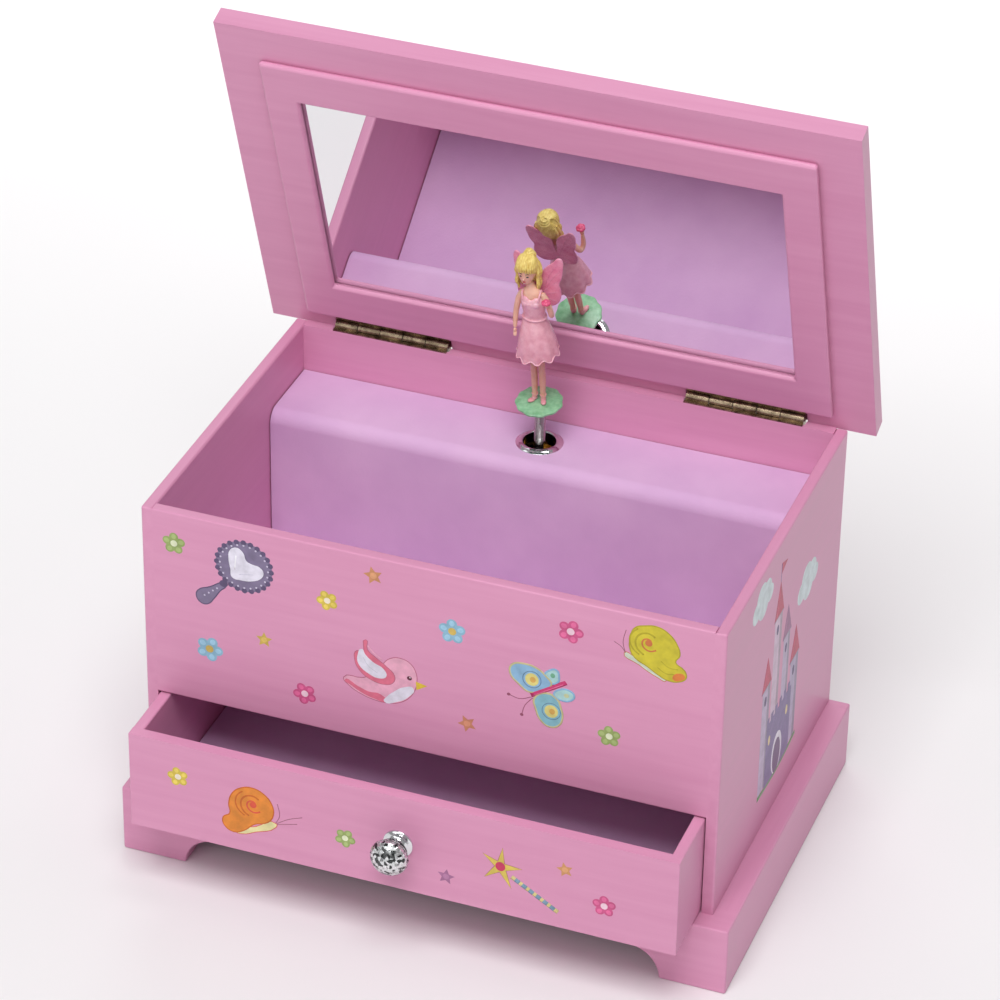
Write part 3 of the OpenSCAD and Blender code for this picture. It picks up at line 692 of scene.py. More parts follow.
def build_knob():
    low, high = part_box("knob_collar")
    stand = Matrix.Translation((0, high.y, (low.z + high.z) / 2)) @ Matrix.Rotation(math.pi / 2, 4, "X")
    collar = lathed("chrome_knob_collar", 48, [
        (0, 5.2), (0.5, 5.2), (0.8, 5.0), (1.2, 3.9), (1.6, 3.1), (2.2, 2.8), (2.8, 2.9), (3.5, 3.8),
        (4.1, 4.7), (4.45, 4.9)])
    collar.data.transform(stand)
    smooth(collar, 50)
    settle(collar, "drawer", CHROME, ["knob_collar"])
    gem = cut_gem()
    gem.data.transform(stand)
    settle(gem, "drawer", CRYSTAL, ["knob_crystal"])
    foil = lathed("crinkled_knob_foil", 24, [
        (6.9, 5.2), (7.5, 5.9), (8.4, 5.75), (9.3, 5.3), (10.3, 4.3), (11.1, 3.0), (11.6, 1.5), (11.7, 0.3)])
    foil.data.transform(stand)
    settle(foil, "drawer", FOIL, ())


# ---- Dancer on her spring; heights are along her own leaning axis, from the fold ----

JOINTS = {joint["name"]: joint for joint in frame["record"]["behaviour"]["joints"]}
FOLD = Vector(JOINTS["figure_fold"]["pos_m"])
SPIN = Vector(JOINTS["dancer_spin"]["axis"])
LEAN = Matrix.Translation(FOLD) @ Vector((0, 0, 1)).rotation_difference(SPIN).to_matrix().to_4x4()


def on_dancer(piece, material, angle=60, nodes=()):
    """Stands a piece on the leaning axis."""
    smooth(piece, angle)
    piece.data.transform(LEAN)
    settle(piece, "dancer", material, nodes)


WIRE = 0.5
COIL_REACH = 1.72
COIL_TOP = 5.6
COIL_LIFT = 0.6
POINTS_PER_TURN = 12


def build_spring():
    """A close-wound coil that runs straight up, then on along the leaning axis."""
    deck_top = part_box("music_deck")[1].z
    foot = (deck_top - FOLD.z) / MM + COIL_LIFT
    turns = (COIL_TOP - foot) / WIRE
    count = int(turns * POINTS_PER_TURN)
    path = []
    for i in range(count + 1):
        height = foot + (COIL_TOP - foot) * i / count
        angle = 2 * math.pi * turns * i / count
        point = Vector((COIL_REACH * math.cos(angle), COIL_REACH * math.sin(angle), height)) * MM
        point = LEAN @ point if height > 0 else point + FOLD
        path.append((*(point / MM), WIRE / 2))
    spring = tube("close_wound_spring", path, sides=2, steps=1)
    smooth(spring, 80)
    spring.data.materials.clear()
    spring.data.materials.append(NICKEL)
    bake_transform(spring)
    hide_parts("coil_spring")
    bpy.ops.object.select_all(action="DESELECT")


def build_stand():
    """A round pad whose rim is gently waved."""
    stand = lathed("wavy_stand", 96, [
        (6.1, 1.0), (7.6, 1.0), (7.62, 7.7), (7.9, 8.05), (8.45, 8.05), (8.75, 7.7), (8.9, 6.4), (9.15, 4.4),
        (9.35, 2.0)])
    rim, plain = 8, 5
    for vertex in stand.data.vertices:
        reach = vertex.co.xy.length / MM
        if reach > plain:
            angle = math.atan2(vertex.co.y, vertex.co.x)
            wave = 0.18 * math.cos(11 * angle) + 0.08 * math.cos(5 * angle + 1)
            swell = 1 + wave / rim * (reach / rim) ** 4
            vertex.co.x *= swell
            vertex.co.y *= swell
    on_dancer(stand, MINT, 40, ["dancer_stand"])


def build_legs():
    legs = []
    for side in (-1, 1):
        legs.append(ringed("leg", 12, [
            (side * 1.5, -0.2, 9.6, 0.7, 0.7), (side * 1.5, -0.1, 10.6, 0.9, 0.95),
            (side * 1.45, 0, 12.5, 0.92, 1.0), (side * 1.42, 0.25, 18.5, 1.3, 1.45),
            (side * 1.4, 0.1, 22.5, 1.15, 1.25), (side * 1.4, 0, 24, 1.2, 1.3),
            (side * 1.5, 0, 30, 1.55, 1.7), (side * 1.7, 0, 37, 1.75, 1.9)], levels=1))
    on_dancer(joined("painted_legs", legs), SKIN)
    shoes = []
    for side in (-1, 1):
        shoes.append(ball("toe", (side * 2.1, -1.55, 9.75), (1.05, 1.9, 0.72), (-8, 0, side * 24)))
        shoes.append(ball("heel", (side * 1.55, -0.15, 10.0), (1.05, 1.15, 1.0)))
        shoes.append(tube("ribbon", [
            (side * 1.45 + 1.0 * math.cos(a), 1.08 * math.sin(a), 11.6 + 0.35 * math.sin(2 * a), 0.17)
            for a in around(8)], closed=True, sides=2))
    on_dancer(joined("pink_slippers", shoes), SHOE)


RIPPLE = 0.045
HEM_FALL = 13


def pleat(angle):
    """How far the folds push the skirt out or in at an angle, from -1.35 to 1.35."""
    return math.cos(10 * angle) + 0.35 * math.cos(4 * angle + 1.3)


def hem_dip(angle):
    """How far the scalloped hem hangs down at an angle, in millimetres."""
    return 0.55 * math.cos(10 * angle) + 0.5 * math.cos(angle + 2.6)


def build_dress():
    skirt = ringed("skirt", 72, [
        (-0.3, 0, 46.2, 3.8, 3.0), (-0.3, 0, 44.6, 4.0, 3.2), (-0.2, 0, 43, 4.5, 3.9),
        (0, 0, 40.5, 5.3, 4.8), (0.15, 0, 37.5, 6.0, 5.7), (0.25, 0, 34.5, 6.6, 6.4),
        (0.3, 0, 32, 7.0, 6.8), (0.3, 0, 30.6, 7.25, 7.05), (0.3, 0, 30.3, 7.0, 6.8),
        (0.3, 0, 31.5, 6.5, 6.3), (0.3, 0, 35, 5.3, 5.1), (0.2, 0, 38, 3.6, 3.4)])
    for vertex in skirt.data.vertices:
        height = vertex.co.z / MM
        fall = max(0.0, (43.5 - height) / HEM_FALL)
        angle = math.atan2(vertex.co.y, vertex.co.x)
        ripple = 1 + RIPPLE * pleat(angle) * fall
        vertex.co.x *= ripple
        vertex.co.y *= ripple
        vertex.co.z -= hem_dip(angle) * fall ** 2 * MM
    bodice = ringed("bodice", 40, [
        (-0.3, 0, 45.0, 3.75, 2.95), (-0.35, 0, 46.5, 3.75, 2.95), (-0.4, -0.05, 48.6, 3.95, 3.1),
        (-0.5, -0.2, 50.8, 4.2, 3.35), (-0.55, -0.25, 52.4, 4.2, 3.4), (-0.6, -0.1, 53.9, 4.0, 3.05),
        (-0.7, 0, 54.6, 3.6, 2.6), (-0.7, 0, 54.3, 3.1, 2.2)], levels=1)
    for vertex in bodice.data.vertices:
        if vertex.co.z > 52.6 * MM and vertex.co.y < 0:
            dip = math.cos(min(1.0, abs(vertex.co.x + 0.6 * MM) / (1.3 * MM)) * math.pi / 2)
            vertex.co.z -= 0.9 * dip * MM
    bust = [ball("bust", (-0.55 + side * 1.65, -2.35, 51.9), (1.65, 1.35, 1.5)) for side in (-1, 1)]
    sash = tube("sash", [(-0.3 + 3.9 * math.cos(a), 3.1 * math.sin(a), 45.3, 0.42) for a in around(12)],
                closed=True)
    straps = [tube("strap", [(side * 2.7 - 0.6, -2.5, 53.6, 0.34), (side * 3.1 - 0.7, -1.4, 55.7, 0.34),
                             (side * 2.9 - 0.7, 0.4, 56.1, 0.34), (side * 2.4 - 0.6, 2.2, 54, 0.34)])
              for side in (-1, 1)]
    hem = []
    for a in around(60):
        ripple = 1 + RIPPLE * pleat(a)
        hem.append((0.3 + 7.28 * ripple * math.cos(a), 7.08 * ripple * math.sin(a), 30.5 - hem_dip(a), 0.24))
    trim = tube("hem_trim", hem, closed=True, sides=2, steps=2)
    dress = joined("pearl_dress", [skirt, bodice, sash, trim] + bust + straps)
    on_dancer(dress, DRESS, 60, ["dancer_body"])


def build_upper_body():
    chest = ringed("chest", 24, [
        (-0.6, 0, 52.0, 3.4, 2.5), (-0.7, 0, 54.3, 3.6, 2.45), (-0.75, 0, 55.6, 3.5, 2.1),
        (-0.9, 0.1, 56.8, 2.4, 1.7), (-1.2, 0.3, 57.6, 1.45, 1.4), (-1.6, 0.4, 58.8, 1.2, 1.2),
        (-1.9, 0.5, 60.6, 1.2, 1.3)], levels=1)
    left_arm = tube("left_arm", [
        (-3.7, 0, 54.7, 1.2), (-4.9, -0.1, 53.2, 1.25), (-6.0, -0.4, 49.8, 1.05), (-6.5, -0.8, 46.8, 0.95),
        (-6.6, -1.6, 43.8, 0.85), (-6.5, -2.5, 41.2, 0.62)], sides=5)
    right_arm = tube("right_arm", [
        (2.4, 0, 54.7, 1.2), (3.7, -0.2, 53.4, 1.25), (5.2, -0.7, 50.6, 1.05), (6.2, -1.4, 48.6, 0.98),
        (6.7, -2.6, 49.2, 0.92), (6.8, -3.6, 51.4, 0.8), (6.6, -4.3, 53.6, 0.6)], sides=5)
    parts = [chest, left_arm, right_arm,
             ball("left_shoulder", (-4.1, 0, 54.3), (1.45, 1.4, 1.45)),
             ball("right_shoulder", (2.8, 0, 54.3), (1.45, 1.4, 1.45)),
             ball("left_hand", (-6.35, -3.0, 40.2), (0.62, 0.85, 1.15), (25, 0, 0)),
             ball("right_hand", (6.4, -4.7, 54.3), (0.85, 0.7, 0.95), (20, -15, 0))]
    for finger in range(3):
        parts.append(tube("finger", [
            (-6.6 + 0.4 * finger, -3.3, 39.8, 0.24), (-6.5 + 0.38 * finger, -3.9, 39.0, 0.2),
            (-6.4 + 0.36 * finger, -4.2, 38.5, 0.12)], sides=2))
        parts.append(tube("finger", [
            (6.9 - 0.35 * finger, -4.9, 54.6, 0.24), (7.0 - 0.4 * finger, -5.3, 55.3, 0.22),
            (6.8 - 0.4 * finger, -5.6, 55.9, 0.14)], sides=2))
    on_dancer(joined("painted_arms", parts), SKIN)
    petals = [ball("petal", (6.0 + 0.85 * math.cos(a), -5.2 + 0.85 * math.sin(a), 56.2), (0.95, 0.95, 0.7),
                   (0, 30 * math.cos(a), 0)) for a in around(6)]
    petals.append(ball("bud", (6.0, -5.2, 56.7), (1.0, 1.0, 0.75)))
    petals.append(tube("stem", [(6.3, -4.9, 53.4, 0.25), (6.1, -5.1, 55.8, 0.3)], sides=2))
    on_dancer(joined("posy", petals), POSY)


HEAD_X = -2.3


def build_head():
    """A small plain doll's head, tilted a little forward."""
    face = ringed("face", 16, [(HEAD_X, *row) for row in [
        (-1.1, 59.3, 0.7, 0.6), (-0.9, 59.8, 1.5, 1.5), (-0.5, 60.8, 2.2, 2.3), (-0.2, 62.2, 2.85, 3.0),
        (0, 63.8, 3.15, 3.35), (0.2, 65.5, 3.2, 3.5), (0.4, 67.2, 2.7, 3.0), (0.5, 68.3, 1.4, 1.6)]], levels=2)
    nose = ball("nose", (HEAD_X, -3.25, 62.5), (0.34, 0.5, 0.62), (-18, 0, 0))
    ears = [ball("ear", (HEAD_X + side * 3.05, 0.2, 63.2), (0.35, 0.6, 0.85)) for side in (-1, 1)]
    on_dancer(joined("painted_head", [face, nose] + ears), SKIN)
    marks = [ball("eye", (HEAD_X + side * 1.2, -3.05, 63.55), (0.5, 0.22, 0.3), (-4, 0, side * 20))
             for side in (-1, 1)]
    marks += [tube("brow", [
        (HEAD_X + side * 0.65, -3.22, 64.45, 0.07), (HEAD_X + side * 1.25, -3.1, 64.7, 0.09),
        (HEAD_X + side * 1.85, -2.8, 64.5, 0.05)], sides=2) for side in (-1, 1)]
    on_dancer(joined("painted_eyes", marks), EYES)
    lips = [ball("upper_lip", (HEAD_X, -3.0, 61.35), (0.62, 0.26, 0.14)),
            ball("lower_lip", (HEAD_X, -2.98, 61.12), (0.5, 0.28, 0.17))]
    on_dancer(joined("painted_lips", lips), LIPS)


def build_hair():
    """A cap of hair with combed locks over it, curls at the shoulders and a twisted bun."""
    cap = ringed("hair_cap", 20, [(HEAD_X, *row) for row in [
        (2.2, 58.6, 1.6, 0.9), (2.0, 59.6, 2.8, 1.7), (1.7, 61.5, 3.55, 2.5), (1.35, 63.5, 3.75, 3.2),
        (0.95, 65.3, 3.8, 3.75), (0.35, 66.4, 3.7, 4.15), (0.3, 67.6, 3.3, 3.8), (0.5, 69.0, 2.2, 2.5),
        (0.6, 69.5, 0.9, 1.0)]], levels=2)
    locks = []
    for step in range(-7, 8):
        angle = math.radians(step * 13)
        side = math.sin(angle)
        front = math.cos(angle)
        locks.append(tube("lock", [
            (HEAD_X + 3.55 * side, 0.5 - 3.95 * front, 65.6 - 1.2 * abs(side), 0.3),
            (HEAD_X + 3.3 * side, 0.4 - 3.6 * front, 67.2 - 0.6 * abs(side), 0.5),
            (HEAD_X + 2.4 * side, 0.8 - 2.2 * front, 68.8, 0.5),
            (HEAD_X + 1.2 * side, 2.0 - 0.6 * front, 69.4, 0.4)], sides=3, steps=4))
        locks.append(tube("back_lock", [
            (HEAD_X + 1.2 * side, 2.6 + 0.4 * abs(front), 68.7, 0.4),
            (HEAD_X + 3.0 * side, 2.2 + 1.6 * abs(front), 66.5, 0.5),
            (HEAD_X + 3.4 * side, 1.9 + 2.1 * abs(front), 63.4, 0.5),
            (HEAD_X + 2.7 * side, 1.9 + 1.4 * abs(front), 60.2, 0.4),
            (HEAD_X + 1.9 * side, 2.0 + 0.8 * abs(front), 58.4, 0.2)], sides=3, steps=4))
    for side in (-1, 1):
        for back, reach in ((0.1, 3.5), (1.3, 3.7), (2.4, 3.2)):
            sway = 0.3 if back > 1 else -0.2
            locks.append(tube("long_curl", [
                (HEAD_X + side * (reach - 0.3), 0.6 + back, 66.2, 0.55),
                (HEAD_X + side * (reach + 0.35), 0.3 + back + sway, 63.6, 0.72),
                (HEAD_X + side * (reach + 0.05), 0.2 + back - sway, 61.2, 0.7),
                (HEAD_X + side * (reach + 0.3), 0.1 + back + sway, 58.9, 0.66),
                (HEAD_X + side * (reach - 0.1), 0.2 + back - sway, 57.0, 0.5),
                (HEAD_X + side * (reach - 0.3), 0.2 + back, 55.8, 0.25)], sides=3, steps=5))
    bun = [ball("bun", (HEAD_X, 2.7, 69.2), (1.9, 1.9, 1.7))]
    bun.append(tube("bun_twist", [
        (HEAD_X + (2.0 - 0.05 * i) * math.cos(i * 0.7), 2.7 + (2.0 - 0.05 * i) * math.sin(i * 0.7),
         68.4 + 0.085 * i, 0.46) for i in range(28)], sides=3, steps=3))
    on_dancer(joined("blonde_hair", [cap] + locks + bun), HAIR)


def build_wings():
    """A pair of moulded wings with raised veins, folded a little back from the spine."""
    outline = [(0.2, 50.0), (0.4, 55.4), (1.0, 60.4), (2.8, 63.4), (5.2, 65.6), (7.2, 67.4), (7.9, 66.6),
               (7.9, 63.2), (7.4, 59.6), (6.5, 56.9), (7.0, 54.2), (6.9, 51.2), (5.6, 48.8), (3.4, 47.8),
               (1.4, 48.3)]
    veins = [[(0.9, 53.0), (3.4, 60.0), (6.8, 66.0)], [(0.9, 53.0), (4.2, 58.6), (7.3, 62.8)],
             [(0.9, 52.8), (3.8, 55.8), (6.2, 58.4)], [(0.9, 52.2), (3.8, 53.2), (6.4, 53.8)],
             [(0.9, 51.6), (3.0, 50.8), (5.4, 49.9)]]
    parts = []
    for side in (-1, 1):
        lobe = curve_piece("lobe", [(u, v, 0, 1) for u, v in outline], True, True, dimensions="2D",
                           fill_mode="BOTH", extrude=0.12 * MM, bevel_depth=0.22 * MM,
                           bevel_resolution=2, resolution_u=5)
        lines = [tube("vein", [(u, v, 0.3, 0.17) for u, v in vein], sides=2, steps=5) for vein in veins]
        lines += [tube("back_vein", [(u, v, -0.3, 0.17) for u, v in vein], sides=2, steps=5)
                  for vein in veins]
        rim = tube("rim", [(u, v, 0, 0.34) for u, v in outline], closed=True, sides=3, steps=5)
        wing = joined("wing", [lobe, rim] + lines)
        upright = Matrix.Rotation(math.pi / 2, 4, "X")
        swing = Matrix.Rotation(math.radians(8), 4, "Z")
        place = Matrix.Translation((0.4 * MM, 3.6 * MM, 0)) @ swing @ upright
        if side < 0:
            place = Matrix.Diagonal((-1, 1, 1, 1)) @ place
        wing.data.transform(place)
        weld(wing)
        parts.append(wing)
    parts.append(ball("wing_root", (-0.3, 3.5, 51.8), (1.3, 0.8, 1.9)))
    on_dancer(joined("pearl_wings", parts), WING, 50, ["dancer_wings"])


# ---- Printed motifs; each is (across, up) in millimetres on its own face ----

INK_STEP = 0.012
INK_SINK = 0.004


def ink_shape(outline, colour, layer, smooth_path=True):
    """One flat patch of ink; higher layers lie over lower ones."""
    thick = INK_STEP * (layer + 1)
    path = [(u, v, 0, 1) for u, v in outline]
    patch = curve_piece("ink", path, True, smooth_path, dimensions="2D", fill_mode="BOTH",
                        extrude=thick * MM / 2, resolution_u=5)
    patch.data.transform(Matrix.Translation((0, 0, (thick / 2 - INK_SINK) * MM)))
    return tinted(patch, colour)


def ink_line(path, width, colour, layer, closed=False, smooth_path=True):
    """A drawn line of ink."""
    line = tube("ink_line", [(u, v, 0, width / 2) for u, v in path], smooth_path, closed, 1, 4)
    lift = INK_STEP * (layer + 1) / (width / 2)
    line.data.transform(Matrix.Diagonal((1, 1, lift, 1)))
    return tinted(line, colour)


def tinted(patch, colour):
    attribute = patch.data.attributes.new("ink", "FLOAT_COLOR", "CORNER")
    attribute.data.foreach_set("color", [*srgb(*colour), 1.0] * len(patch.data.loops))
    return patch


def oval(u, v, wide, tall, turn=0.0, points=8):
    """An oval's outline, turned by degrees."""
    c, s = math.cos(math.radians(turn)), math.sin(math.radians(turn))
    return [(u + wide * math.cos(a) * c - tall * math.sin(a) * s,
             v + wide * math.cos(a) * s + tall * math.sin(a) * c) for a in around(points)]


PETALS = 5


def flower(u, v, radius, colour, heart, turn):
    """Round petals about a small eye, each petal with a paler middle."""
    pale = tuple(min(255, c + 22) for c in colour)
    inks = []
    for i in range(PETALS):
        angle = turn + i * 360 / PETALS
        along = Vector((math.cos(math.radians(angle)), math.sin(math.radians(angle))))
        middle = Vector((u, v)) + along * radius * 0.58
        inks.append(ink_shape(oval(*middle, radius * 0.44, radius * 0.4, angle), colour, 0.3 * i))
        middle = Vector((u, v)) + along * radius * 0.66
        inks.append(ink_shape(oval(*middle, radius * 0.24, radius * 0.2, angle, 6), pale, 1.6 + 0.1 * i))
    inks.append(ink_shape(oval(u, v, radius * 0.3, radius * 0.3), heart, 2.6))
    return inks


STAR_POINTS = 5
STAR_WAIST = 0.48


def star(u, v, radius, colour, turn):
    """A small star with a brighter middle."""
    outline = []
    for i in range(2 * STAR_POINTS):
        reach = radius if i % 2 == 0 else radius * STAR_WAIST
        angle = math.radians(turn + i * 180 / STAR_POINTS)
        outline.append((u + reach * math.cos(angle), v + reach * math.sin(angle)))
    bright = tuple(min(255, c + 18) for c in colour)
    return [ink_shape(outline, colour, 0, False),
            ink_shape(oval(u, v, radius * 0.34, radius * 0.34), bright, 1)]


GREY_VIOLET = (128, 116, 146)
DEEP_VIOLET = (96, 82, 116)
PALE_VIOLET = (206, 198, 220)
FROST = (226, 222, 236)


def hand_mirror():
    """A lacy round hand mirror with a heart-shaped glass."""
    u, v = -63.9, 120.9
    scallops = around(24)
    inks = [ink_shape(oval(u, v, 9.9, 9.6, 0, 16), GREY_VIOLET, 0)]
    inks += [ink_shape(oval(u + 9.6 * math.cos(a), v + 9.3 * math.sin(a), 0.95, 0.95, 0, 6), DEEP_VIOLET, 1)
             for a in scallops]
    inks += [ink_shape(oval(u + 8.5 * math.cos(a), v + 8.2 * math.sin(a), 0.34, 0.34, 0, 6), PALE_VIOLET, 2)
             for a in scallops]
    heart = [(-68.8, 126.2), (-66.4, 127.8), (-64.1, 126.4), (-62.9, 123.4), (-61.0, 122.6), (-58.4, 122.1),
             (-57.0, 120.2), (-57.9, 117.8), (-61.0, 116.0), (-65.0, 115.4), (-68.2, 115.9), (-68.7, 119.0),
             (-69.3, 123.0)]
    inks += [ink_shape(heart, FROST, 3), ink_line(heart, 0.35, DEEP_VIOLET, 3, True)]
    inks += [ink_line([(-67.2, 119.0), (-66.6, 124.6)], 0.7, (244, 242, 248), 4),
             ink_line([(-65.6, 117.6), (-60.6, 118.6)], 0.5, (208, 204, 222), 4)]
    handle = [(-70.6, 113.6), (-72.0, 112.9), (-76.0, 110.2), (-80.4, 107.8), (-81.0, 105.4), (-79.4, 103.2),
              (-77.2, 103.2), (-74.6, 106.2), (-72.4, 109.6), (-70.4, 111.8)]
    inks += [ink_shape(handle, GREY_VIOLET, 0.5), ink_line(handle, 0.5, DEEP_VIOLET, 1, True),
             ink_shape(oval(-71.2, 112.6, 1.5, 1.3), DEEP_VIOLET, 2)]
    inks += [ink_shape(oval(-73.6 - 1.5 * i, 110.2 - 1.25 * i, 0.32, 0.32, 0, 6), PALE_VIOLET, 2)
             for i in range(4)]
    return inks


def bird():
    """A little songbird with a raised wing."""
    line, rose, blush = (188, 104, 130), (220, 112, 138), (232, 170, 194)
    body = [(-3.6, 91.0), (-3.9, 94.4), (-5.8, 97.6), (-9.2, 98.9), (-12.8, 98.0), (-15.4, 95.2),
            (-18.0, 91.0), (-22.4, 88.0), (-29.2, 86.4), (-27.2, 83.6), (-23.6, 81.6), (-19.0, 80.3),
            (-14.6, 80.1), (-10.0, 81.2), (-6.4, 84.0), (-4.3, 87.6)]
    tail = [(-28.8, 85.6), (-26.4, 83.8), (-23.0, 82.0), (-18.6, 80.7), (-14.4, 80.9), (-16.4, 83.0),
            (-20.4, 83.0), (-24.2, 84.2)]
    belly = [(-15.0, 80.5), (-10.2, 81.6), (-6.7, 84.2), (-4.8, 88.2), (-8.2, 87.8), (-11.6, 85.2),
             (-14.2, 82.4)]
    wing = [(-21.4, 103.2), (-20.9, 99.6), (-17.6, 96.8), (-14.2, 94.4), (-11.4, 91.6), (-11.9, 88.6),
            (-15.0, 87.2), (-19.6, 87.9), (-23.2, 90.2), (-25.2, 94.0), (-24.4, 98.2), (-22.8, 97.6)]
    plume = [(-24.2, 96.8), (-24.0, 93.2), (-20.6, 90.2), (-16.4, 89.2), (-14.2, 90.6), (-15.2, 93.2),
             (-18.8, 95.0), (-21.6, 97.4), (-22.8, 99.2)]
    beak = [(-4.0, 91.2), (0.0, 90.3), (-3.7, 87.9)]
    inks = [ink_shape(body, blush, 0), ink_shape(tail, rose, 1), ink_shape(belly, FROST, 1.5)]
    inks += [ink_line(body, 0.34, line, 1, True), ink_shape(wing, rose, 2),
             ink_line(wing, 0.34, line, 3, True)]
    inks += [ink_shape(plume, FROST, 4), ink_shape(beak, (216, 186, 60), 2, False)]
    inks += [ink_line([(-22.4, 96.2), (-20.6, 93.2), (-17.4, 91.2)], 0.3, (190, 190, 206), 5),
             ink_line([(-20.8, 101.0), (-18.6, 98.6), (-15.6, 96.6)], 0.5, blush, 4)]
    inks += [ink_shape(oval(-6.2, 91.9, 0.85, 0.8), (96, 44, 62), 3),
             ink_shape(oval(-6.0, 92.2, 0.24, 0.24, 0, 6), (240, 226, 232), 4)]
    return inks


def butterfly():
    """Four blue wings with yellow spots along a rose body."""
    blue, pale, rim = (140, 182, 214), (168, 208, 208), (198, 190, 140)
    line, feeler = (96, 128, 160), (150, 78, 104)
    upper = [(35.4, 97.3), (31.4, 99.6), (28.4, 103.0), (29.0, 106.4), (33.2, 107.7), (37.6, 106.9),
             (40.4, 104.8), (42.4, 101.9)]
    lower = [(36.8, 95.2), (37.4, 91.2), (39.2, 87.2), (42.2, 85.5), (45.2, 86.8), (46.4, 90.2),
             (45.8, 93.6), (44.4, 96.8), (41.0, 98.2)]
    upper_tail = [(40.0, 104.6), (41.8, 107.4), (44.0, 108.0), (44.9, 105.8), (44.6, 103.6), (42.2, 102.4)]
    lower_tail = [(43.4, 98.2), (46.2, 96.8), (49.2, 97.6), (50.2, 99.6), (48.4, 101.2), (45.4, 100.8)]
    inks = []
    wings = ((upper_tail, pale, blue), (lower_tail, pale, blue), (upper, blue, rim),
             (lower, (132, 184, 198), rim))
    for layer, (outline, colour, edge) in enumerate(wings):
        inks += [ink_shape(outline, colour, 0.3 * layer), ink_line(outline, 0.8, edge, 1 + 0.2 * layer, True)]
    for u, v in ((35.8, 102.3), (42.6, 91.6)):
        inks += [ink_line(oval(u, v, 3.1, 3.1), 0.4, line, 2, True),
                 ink_shape(oval(u, v, 2.3, 2.4), (222, 210, 128), 2),
                 ink_shape(oval(u + 0.3, v, 1.0, 1.1), (216, 170, 88), 3)]
    inks += [ink_shape(oval(42.8, 105.6, 0.8, 0.9), (110, 168, 138), 2),
             ink_shape(oval(47.6, 99.0, 0.9, 0.8), (196, 204, 160), 2)]
    inks += [ink_line([(35.6, 96.2), (41.4, 100.0), (47.4, 104.0)], 1.7, (206, 62, 118), 4),
             ink_line([(36.2, 96.2), (46.4, 103.0)], 0.5, (226, 110, 154), 5)]
    for path in ([(36.0, 95.6), (31.6, 93.8), (28.0, 94.6)], [(36.2, 95.2), (33.6, 91.6), (32.6, 87.8)]):
        inks += [ink_line(path, 0.26, feeler, 1), ink_shape(oval(*path[-1], 0.6, 0.55, 0, 6), feeler, 2)]
    return inks


def whorl(u, v, radius, growth, turn, step, count, squash=1.0):
    """Points along a winding line that grows as it turns."""
    points = []
    for i in range(count):
        angle = turn + step * i
        reach = radius + growth * i
        points.append((u + reach * math.cos(angle), v + reach * squash * math.sin(angle)))
    return points


def snail(shell, foot, swirl, colours, feelers):
    """A snail: a shell with a wound swirl, over a pale foot."""
    fill, shade, edge, pale = colours
    inks = [ink_shape(foot, pale, 0), ink_line(foot, 0.3, edge, 1, True),
            ink_shape(shell, fill, 2), ink_line(shell, 0.55, shade, 3, True)]
    u, v, reach = swirl
    winding = whorl(u, v, 0.18 * reach, 0.082 * reach, 0, 0.62, 10)
    inks += [ink_line(winding, 0.85, edge, 4), ink_shape(oval(u, v, reach * 0.34, reach * 0.34), edge, 3)]
    wide = whorl(u, v, 0.9 * reach, 0.07 * reach, 0.9, 0.5, 8)
    inks.append(ink_line(wide, 0.95, shade, 4))
    arc = whorl(u, v, 1.75 * reach, 0, 2.2, 0.4, 6, squash=1.6 / 1.75)
    inks.append(ink_line(arc, 0.7, shade, 5))
    inks += [ink_line(path, 0.26, (160, 100, 118), 1) for path in feelers]
    return inks


def yellow_snail():
    shell = [(69.8, 131.0), (73.0, 132.4), (77.2, 133.0), (81.0, 131.2), (83.6, 128.0), (84.7, 124.0),
             (83.4, 121.2), (86.4, 118.8), (87.1, 116.2), (85.0, 114.2), (81.2, 113.7), (78.0, 115.0),
             (74.0, 117.4), (70.2, 119.4), (68.4, 122.2), (68.3, 127.0)]
    foot = [(66.4, 120.6), (70.0, 119.8), (76.0, 116.4), (80.6, 113.4), (77.6, 114.0), (71.4, 117.2)]
    olive = (178, 164, 40)
    inks = snail(shell, foot, (74.4, 126.2, 3.6),
                 ((206, 192, 52), olive, (204, 116, 64), (206, 214, 196)),
                 [[(66.8, 120.6), (65.9, 124.6), (66.8, 129.4)],
                  [(66.6, 121.0), (65.4, 122.6), (63.0, 124.0)]])
    lip = [(82.6, 115.2), (85.4, 117.4), (86.8, 116.4), (85.2, 114.6), (83.4, 114.2)]
    inks += [ink_shape(lip, (220, 128, 62), 4),
             ink_line([(78.6, 120.4), (81.4, 118.6), (84.4, 118.6)], 0.4, olive, 4),
             ink_line([(77.6, 117.8), (80.2, 116.2), (83.2, 116.4)], 0.4, olive, 4)]
    return inks


def orange_snail():
    shell = [(-59.9, 44.0), (-58.6, 48.6), (-55.4, 51.6), (-51.4, 52.6), (-47.4, 51.2), (-44.6, 47.8),
             (-44.1, 43.6), (-46.0, 40.2), (-51.0, 38.0), (-54.6, 34.6), (-58.4, 33.0), (-61.6, 34.8),
             (-62.0, 38.0), (-59.6, 40.2)]
    foot = [(-57.4, 33.2), (-50.4, 37.2), (-43.0, 40.4), (-43.4, 38.6), (-50.4, 35.0), (-55.4, 32.9)]
    return snail(shell, foot, (-51.2, 45.8, 3.6),
                 ((226, 138, 52), (204, 104, 36), (216, 84, 62), (232, 222, 164)),
                 [[(-43.2, 40.6), (-41.8, 44.0), (-42.6, 48.6)],
                  [(-42.8, 40.6), (-38.6, 43.4), (-33.8, 45.4)],
                  [(-42.8, 40.2), (-39.4, 41.2), (-35.6, 42.2)]])


